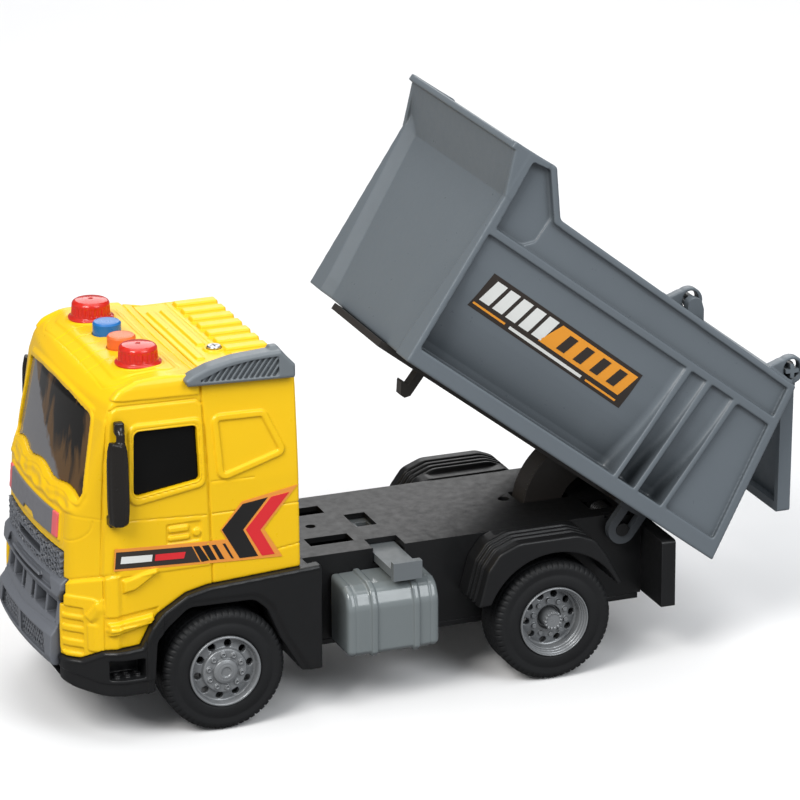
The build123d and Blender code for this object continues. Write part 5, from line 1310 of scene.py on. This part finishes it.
# Door films: name, outline (y, z), material, lift
DOOR_FILMS = [
    ("edge", [(-92.9, 67.0), (-67.6, 65.7), (-55.7, 65.1), (-57.7, 68.6), (-50.4, 77.2),
              (-31.6, 80.4), (-43.2, 67.0), (-37.1, 56.8), (-52.3, 57.4), (-93.4, 59.6)],
     "film_edge", FILM_BASE),
    ("bar", [(-92.5, 65.9), (-67.5, 64.5), (-64.8, 58.9), (-93.0, 60.3)], "film_dark",
     FILM_MARK),
    ("stripe0", [(-67, 64.4), (-65, 64.3), (-61.8, 59), (-64.3, 58.8)], "film_black",
     FILM_MARK),
    ("stripe1", [(-64.1, 64.2), (-61.9, 64.2), (-59.2, 58.8), (-61.4, 58.9)], "film_black",
     FILM_MARK),
    ("stripe2", [(-60.8, 64), (-59.4, 63.9), (-56.6, 58.7), (-58.2, 58.8)], "film_black",
     FILM_MARK),
    ("stripe3", [(-57.2, 63.9), (-56.3, 63.9), (-53.5, 58.5), (-54.2, 58.5)], "film_black",
     FILM_MARK),
    ("chevron_dark", [(-50.2, 76.4), (-41.8, 77.5), (-50.2, 67.7), (-45.3, 58.1),
                      (-51.5, 58.2), (-57.3, 68.6)], "film_black", FILM_MARK),
    ("chevron_red", [(-40.6, 77.5), (-34.5, 78.3), (-44.4, 66.8), (-39.7, 58.0),
                     (-44.0, 58.0), (-49.3, 67.6)], "film_red", FILM_MARK),
    ("dash_white", [(-90.8, 64.2), (-80.6, 63.6), (-80.9, 61.4), (-91.2, 61.9)],
     "film_white", FILM_TOP),
    ("dash_red", [(-79.6, 63.5), (-69.6, 63.0), (-70.2, 60.9), (-79.9, 61.4)], "film_red",
     FILM_TOP),
]
# Bed films, on the lowered bed, in the same columns
BED_FILMS = [
    ("base", [(-13.8, 91.0), (52.6, 90.3), (53.2, 77.0), (-14.5, 77.8)], "film_dark",
     FILM_BASE),
    ("block", [(17.8, 89.4), (51.6, 89.0), (49.6, 80.4), (13.6, 80.9)], "film_orange",
     FILM_MARK),
    ("line_a", [(-13.6, 79.9), (0.4, 79.7), (0.4, 79.0), (-13.6, 79.2)], "film_orange",
     FILM_MARK),
    ("line_b", [(36.6, 79.0), (50.2, 78.8), (50.2, 78.1), (36.6, 78.3)], "film_orange",
     FILM_MARK),
    ("line_c", [(2.4, 79.7), (34.6, 79.2), (34.6, 78.2), (2.4, 78.7)], "film_white",
     FILM_MARK),
]
for i in range(5):
    y = -12.6 + 5.7 * i
    BED_FILMS.append((f"hatch{i}", [(y + 1.6, 89.5), (y + 5.8, 89.5), (y + 4.2, 81.3),
                                    (y, 81.3)], "film_white", FILM_MARK))
for i in range(4):
    y = 20.6 + 7.4 * i
    BED_FILMS.append((f"slash{i}", [(y + 1.5, 88.0), (y + 5.0, 88.0), (y + 3.4, 82.0),
                                    (y - 0.1, 82.0)], "film_dark", FILM_TOP))


def surface_tree(source):
    """Search tree of an object's faces, in the script's millimetres."""
    mesh = source.data
    points = np.empty(len(mesh.vertices) * 3, np.float32)
    mesh.vertices.foreach_get("co", points)
    points = points.reshape(-1, 3) / MM - np.array((0, Y_SHIFT, 0))
    return BVHTree.FromPolygons([Vector(point) for point in points.tolist()],
                                [list(face.vertices) for face in mesh.polygons])


def triangulate(points):
    """Even triangles filling an outline: (y, z) points and triples."""
    step = 1.6
    border = []
    for i, (y0, z0) in enumerate(points):
        y1, z1 = points[(i + 1) % len(points)]
        count = max(1, int(math.hypot(y1 - y0, z1 - z0) / step))
        border += [(y0 + (y1 - y0) * k / count, z0 + (z1 - z0) * k / count)
                   for k in range(count)]
    ys, zs = zip(*points)
    grid_y, grid_z = np.meshgrid(np.arange(min(ys), max(ys), step),
                                 np.arange(min(zs), max(zs), step))
    edge = outline(grid_y.astype(np.float32), grid_z.astype(np.float32), points)
    inner = [(float(y), float(z))
             for y, z, distance in zip(grid_y.ravel(), grid_z.ravel(), edge.ravel())
             if distance < -0.35 * step]
    result = delaunay_2d_cdt([Vector(point) for point in border + inner], [],
                             [list(range(len(border)))], 1, 1e-5)
    return [tuple(point) for point in result[0]], [tuple(face) for face in result[2]]


def closed_faces(triangles, count):
    """Top, bottom and rim faces; bottom points follow the count top ones."""
    edges = [(face[k], face[(k + 1) % 3]) for face in triangles for k in range(3)]
    uses = {}
    for edge in edges:
        key = tuple(sorted(edge))
        uses[key] = uses.get(key, 0) + 1
    faces = []
    for face in triangles:
        faces.append(face)
        faces.append(tuple(count + corner for corner in reversed(face)))
        for k in range(3):
            start, end = face[k], face[(k + 1) % 3]
            if uses[tuple(sorted((start, end)))] == 1:
                faces.append((end, start, count + start))
                faces.append((end, count + start, count + end))
    return np.array(faces)


def add_film(name, points, tree, material, body, lift, sign, place=None):
    """Thin film laid on the surface found by looking inwards along x."""
    flat, triangles = triangulate(points)
    flat = np.array([(0.0, y, z) for y, z in flat])
    if place is not None:
        flat = place(flat)
    top, bottom = [], []
    for _, y, z in flat:
        hit = tree.ray_cast(Vector((sign * 60.0, y, z)), Vector((-sign, 0, 0)), 100)[0]
        x = hit[0] if hit is not None else sign * 43.0
        if place is None and abs(x) < DOOR_LEAST_X:
            x = sign * DOOR_LEAST_X
        top.append((x + sign * lift, y, z))
        bottom.append((x - sign * 0.10, y, z))
    add_mesh(name, np.array(top + bottom), closed_faces(triangles, len(top)), material, body,
             smooth=False)


def add_films(prefix, films, target, body, place=None):
    tree = surface_tree(target)
    for name, points, material, lift in films:
        for side, sign in (("l", 1), ("r", -1)):
            add_film(f"{prefix}_{name}_{side}", points, tree, material, body, lift, sign, place)


cab_body = add_cab()
add_lower_cab()
add_grille()
add_roof_door()
add_fairing()
add_mirrors()
dump_bed = add_bed()
add_fenders()
add_tanks()
add_tyres()
add_rims()
add_beacons()
add_films("door", DOOR_FILMS, cab_body, "truck")
add_films("bed", BED_FILMS, dump_bed, "bed", raise_points)


# ------------------------------------------------------------------ stage, in metres
def floor_material():
    """Pale to the camera and darker to all other rays."""
    material, shader = new_material("floor")
    clouds = shader.noise(shader.position(), Scale=9.0, Detail=3.0)
    pale = shader.mix(clouds, (0.83, 0.83, 0.835), (0.86, 0.86, 0.865))
    seen = shader.add("LightPath", {}).outputs["Is Camera Ray"]
    colour = shader.mix(seen, (0.22, 0.22, 0.225), pale)
    principled = shader.add("BsdfPrincipled", {"Base Color": colour, "Roughness": 0.6,
                                               "Specular IOR Level": 0.25})
    shader.add("OutputMaterial", {"Surface": principled.outputs["BSDF"]})
    return material


def add_floor():
    """Floor rising into a curved backdrop on the far side from the camera."""
    near, far, half_width, curve, top, drop = -4.0, 1.15, 6.0, 0.9, 4.5, 0.0002
    steps = 24
    away = Vector((-math.sin(CAMERA_AZIMUTH), math.cos(CAMERA_AZIMUTH), 0))
    across = Vector((away.y, -away.x, 0))
    line = [(near, 0.0), (far, 0.0)]
    for i in range(1, steps + 1):
        turn = math.pi / 2 * i / steps
        line.append((far + curve * math.sin(turn), curve * (1 - math.cos(turn))))
    line.append((far + curve, top))
    shape = bmesh.new()
    rows = [[shape.verts.new(away * along + across * side + Vector((0, 0, z - drop)))
             for side in (half_width, -half_width)] for along, z in line]
    for row, following in zip(rows, rows[1:]):
        shape.faces.new((row[0], row[1], following[1], following[0]))
    mesh = bpy.data.meshes.new("floor")
    shape.to_mesh(mesh)
    for face in mesh.polygons:
        face.use_smooth = True
    floor = bpy.data.objects.new("floor", mesh)
    scene.collection.objects.link(floor)
    mesh.materials.append(floor_material())


def add_area_light(name, location, size, power, colour=(1, 1, 1)):
    light = bpy.data.lights.new(name, "AREA")
    light.energy = power
    light.size = size
    light.color = colour
    lamp = bpy.data.objects.new(name, light)
    lamp.location = location
    aim = Vector((0, 0, 0.08)) - Vector(location)
    lamp.rotation_euler = aim.to_track_quat("-Z", "Y").to_euler()
    scene.collection.objects.link(lamp)


def make_world():
    world = bpy.data.worlds.new("world")
    scene.world = world
    world.use_nodes = True
    background = world.node_tree.nodes["Background"]
    background.inputs["Color"].default_value = (0.95, 0.97, 1.0, 1)
    background.inputs["Strength"].default_value = 0.45


add_floor()
add_area_light("key", (0.72, -1.05, 1.3), size=0.8, power=24.0, colour=(1.0, 0.985, 0.96))
add_area_light("fill", (1.25, 0.55, 1.1), size=0.9, power=13.0, colour=(0.95, 0.98, 1.0))
add_area_light("top", (-0.1, 0.1, 1.5), size=1.4, power=9.0)
add_area_light("back", (-1.2, 0.5, 0.9), size=1.0, power=6.0)
make_world()
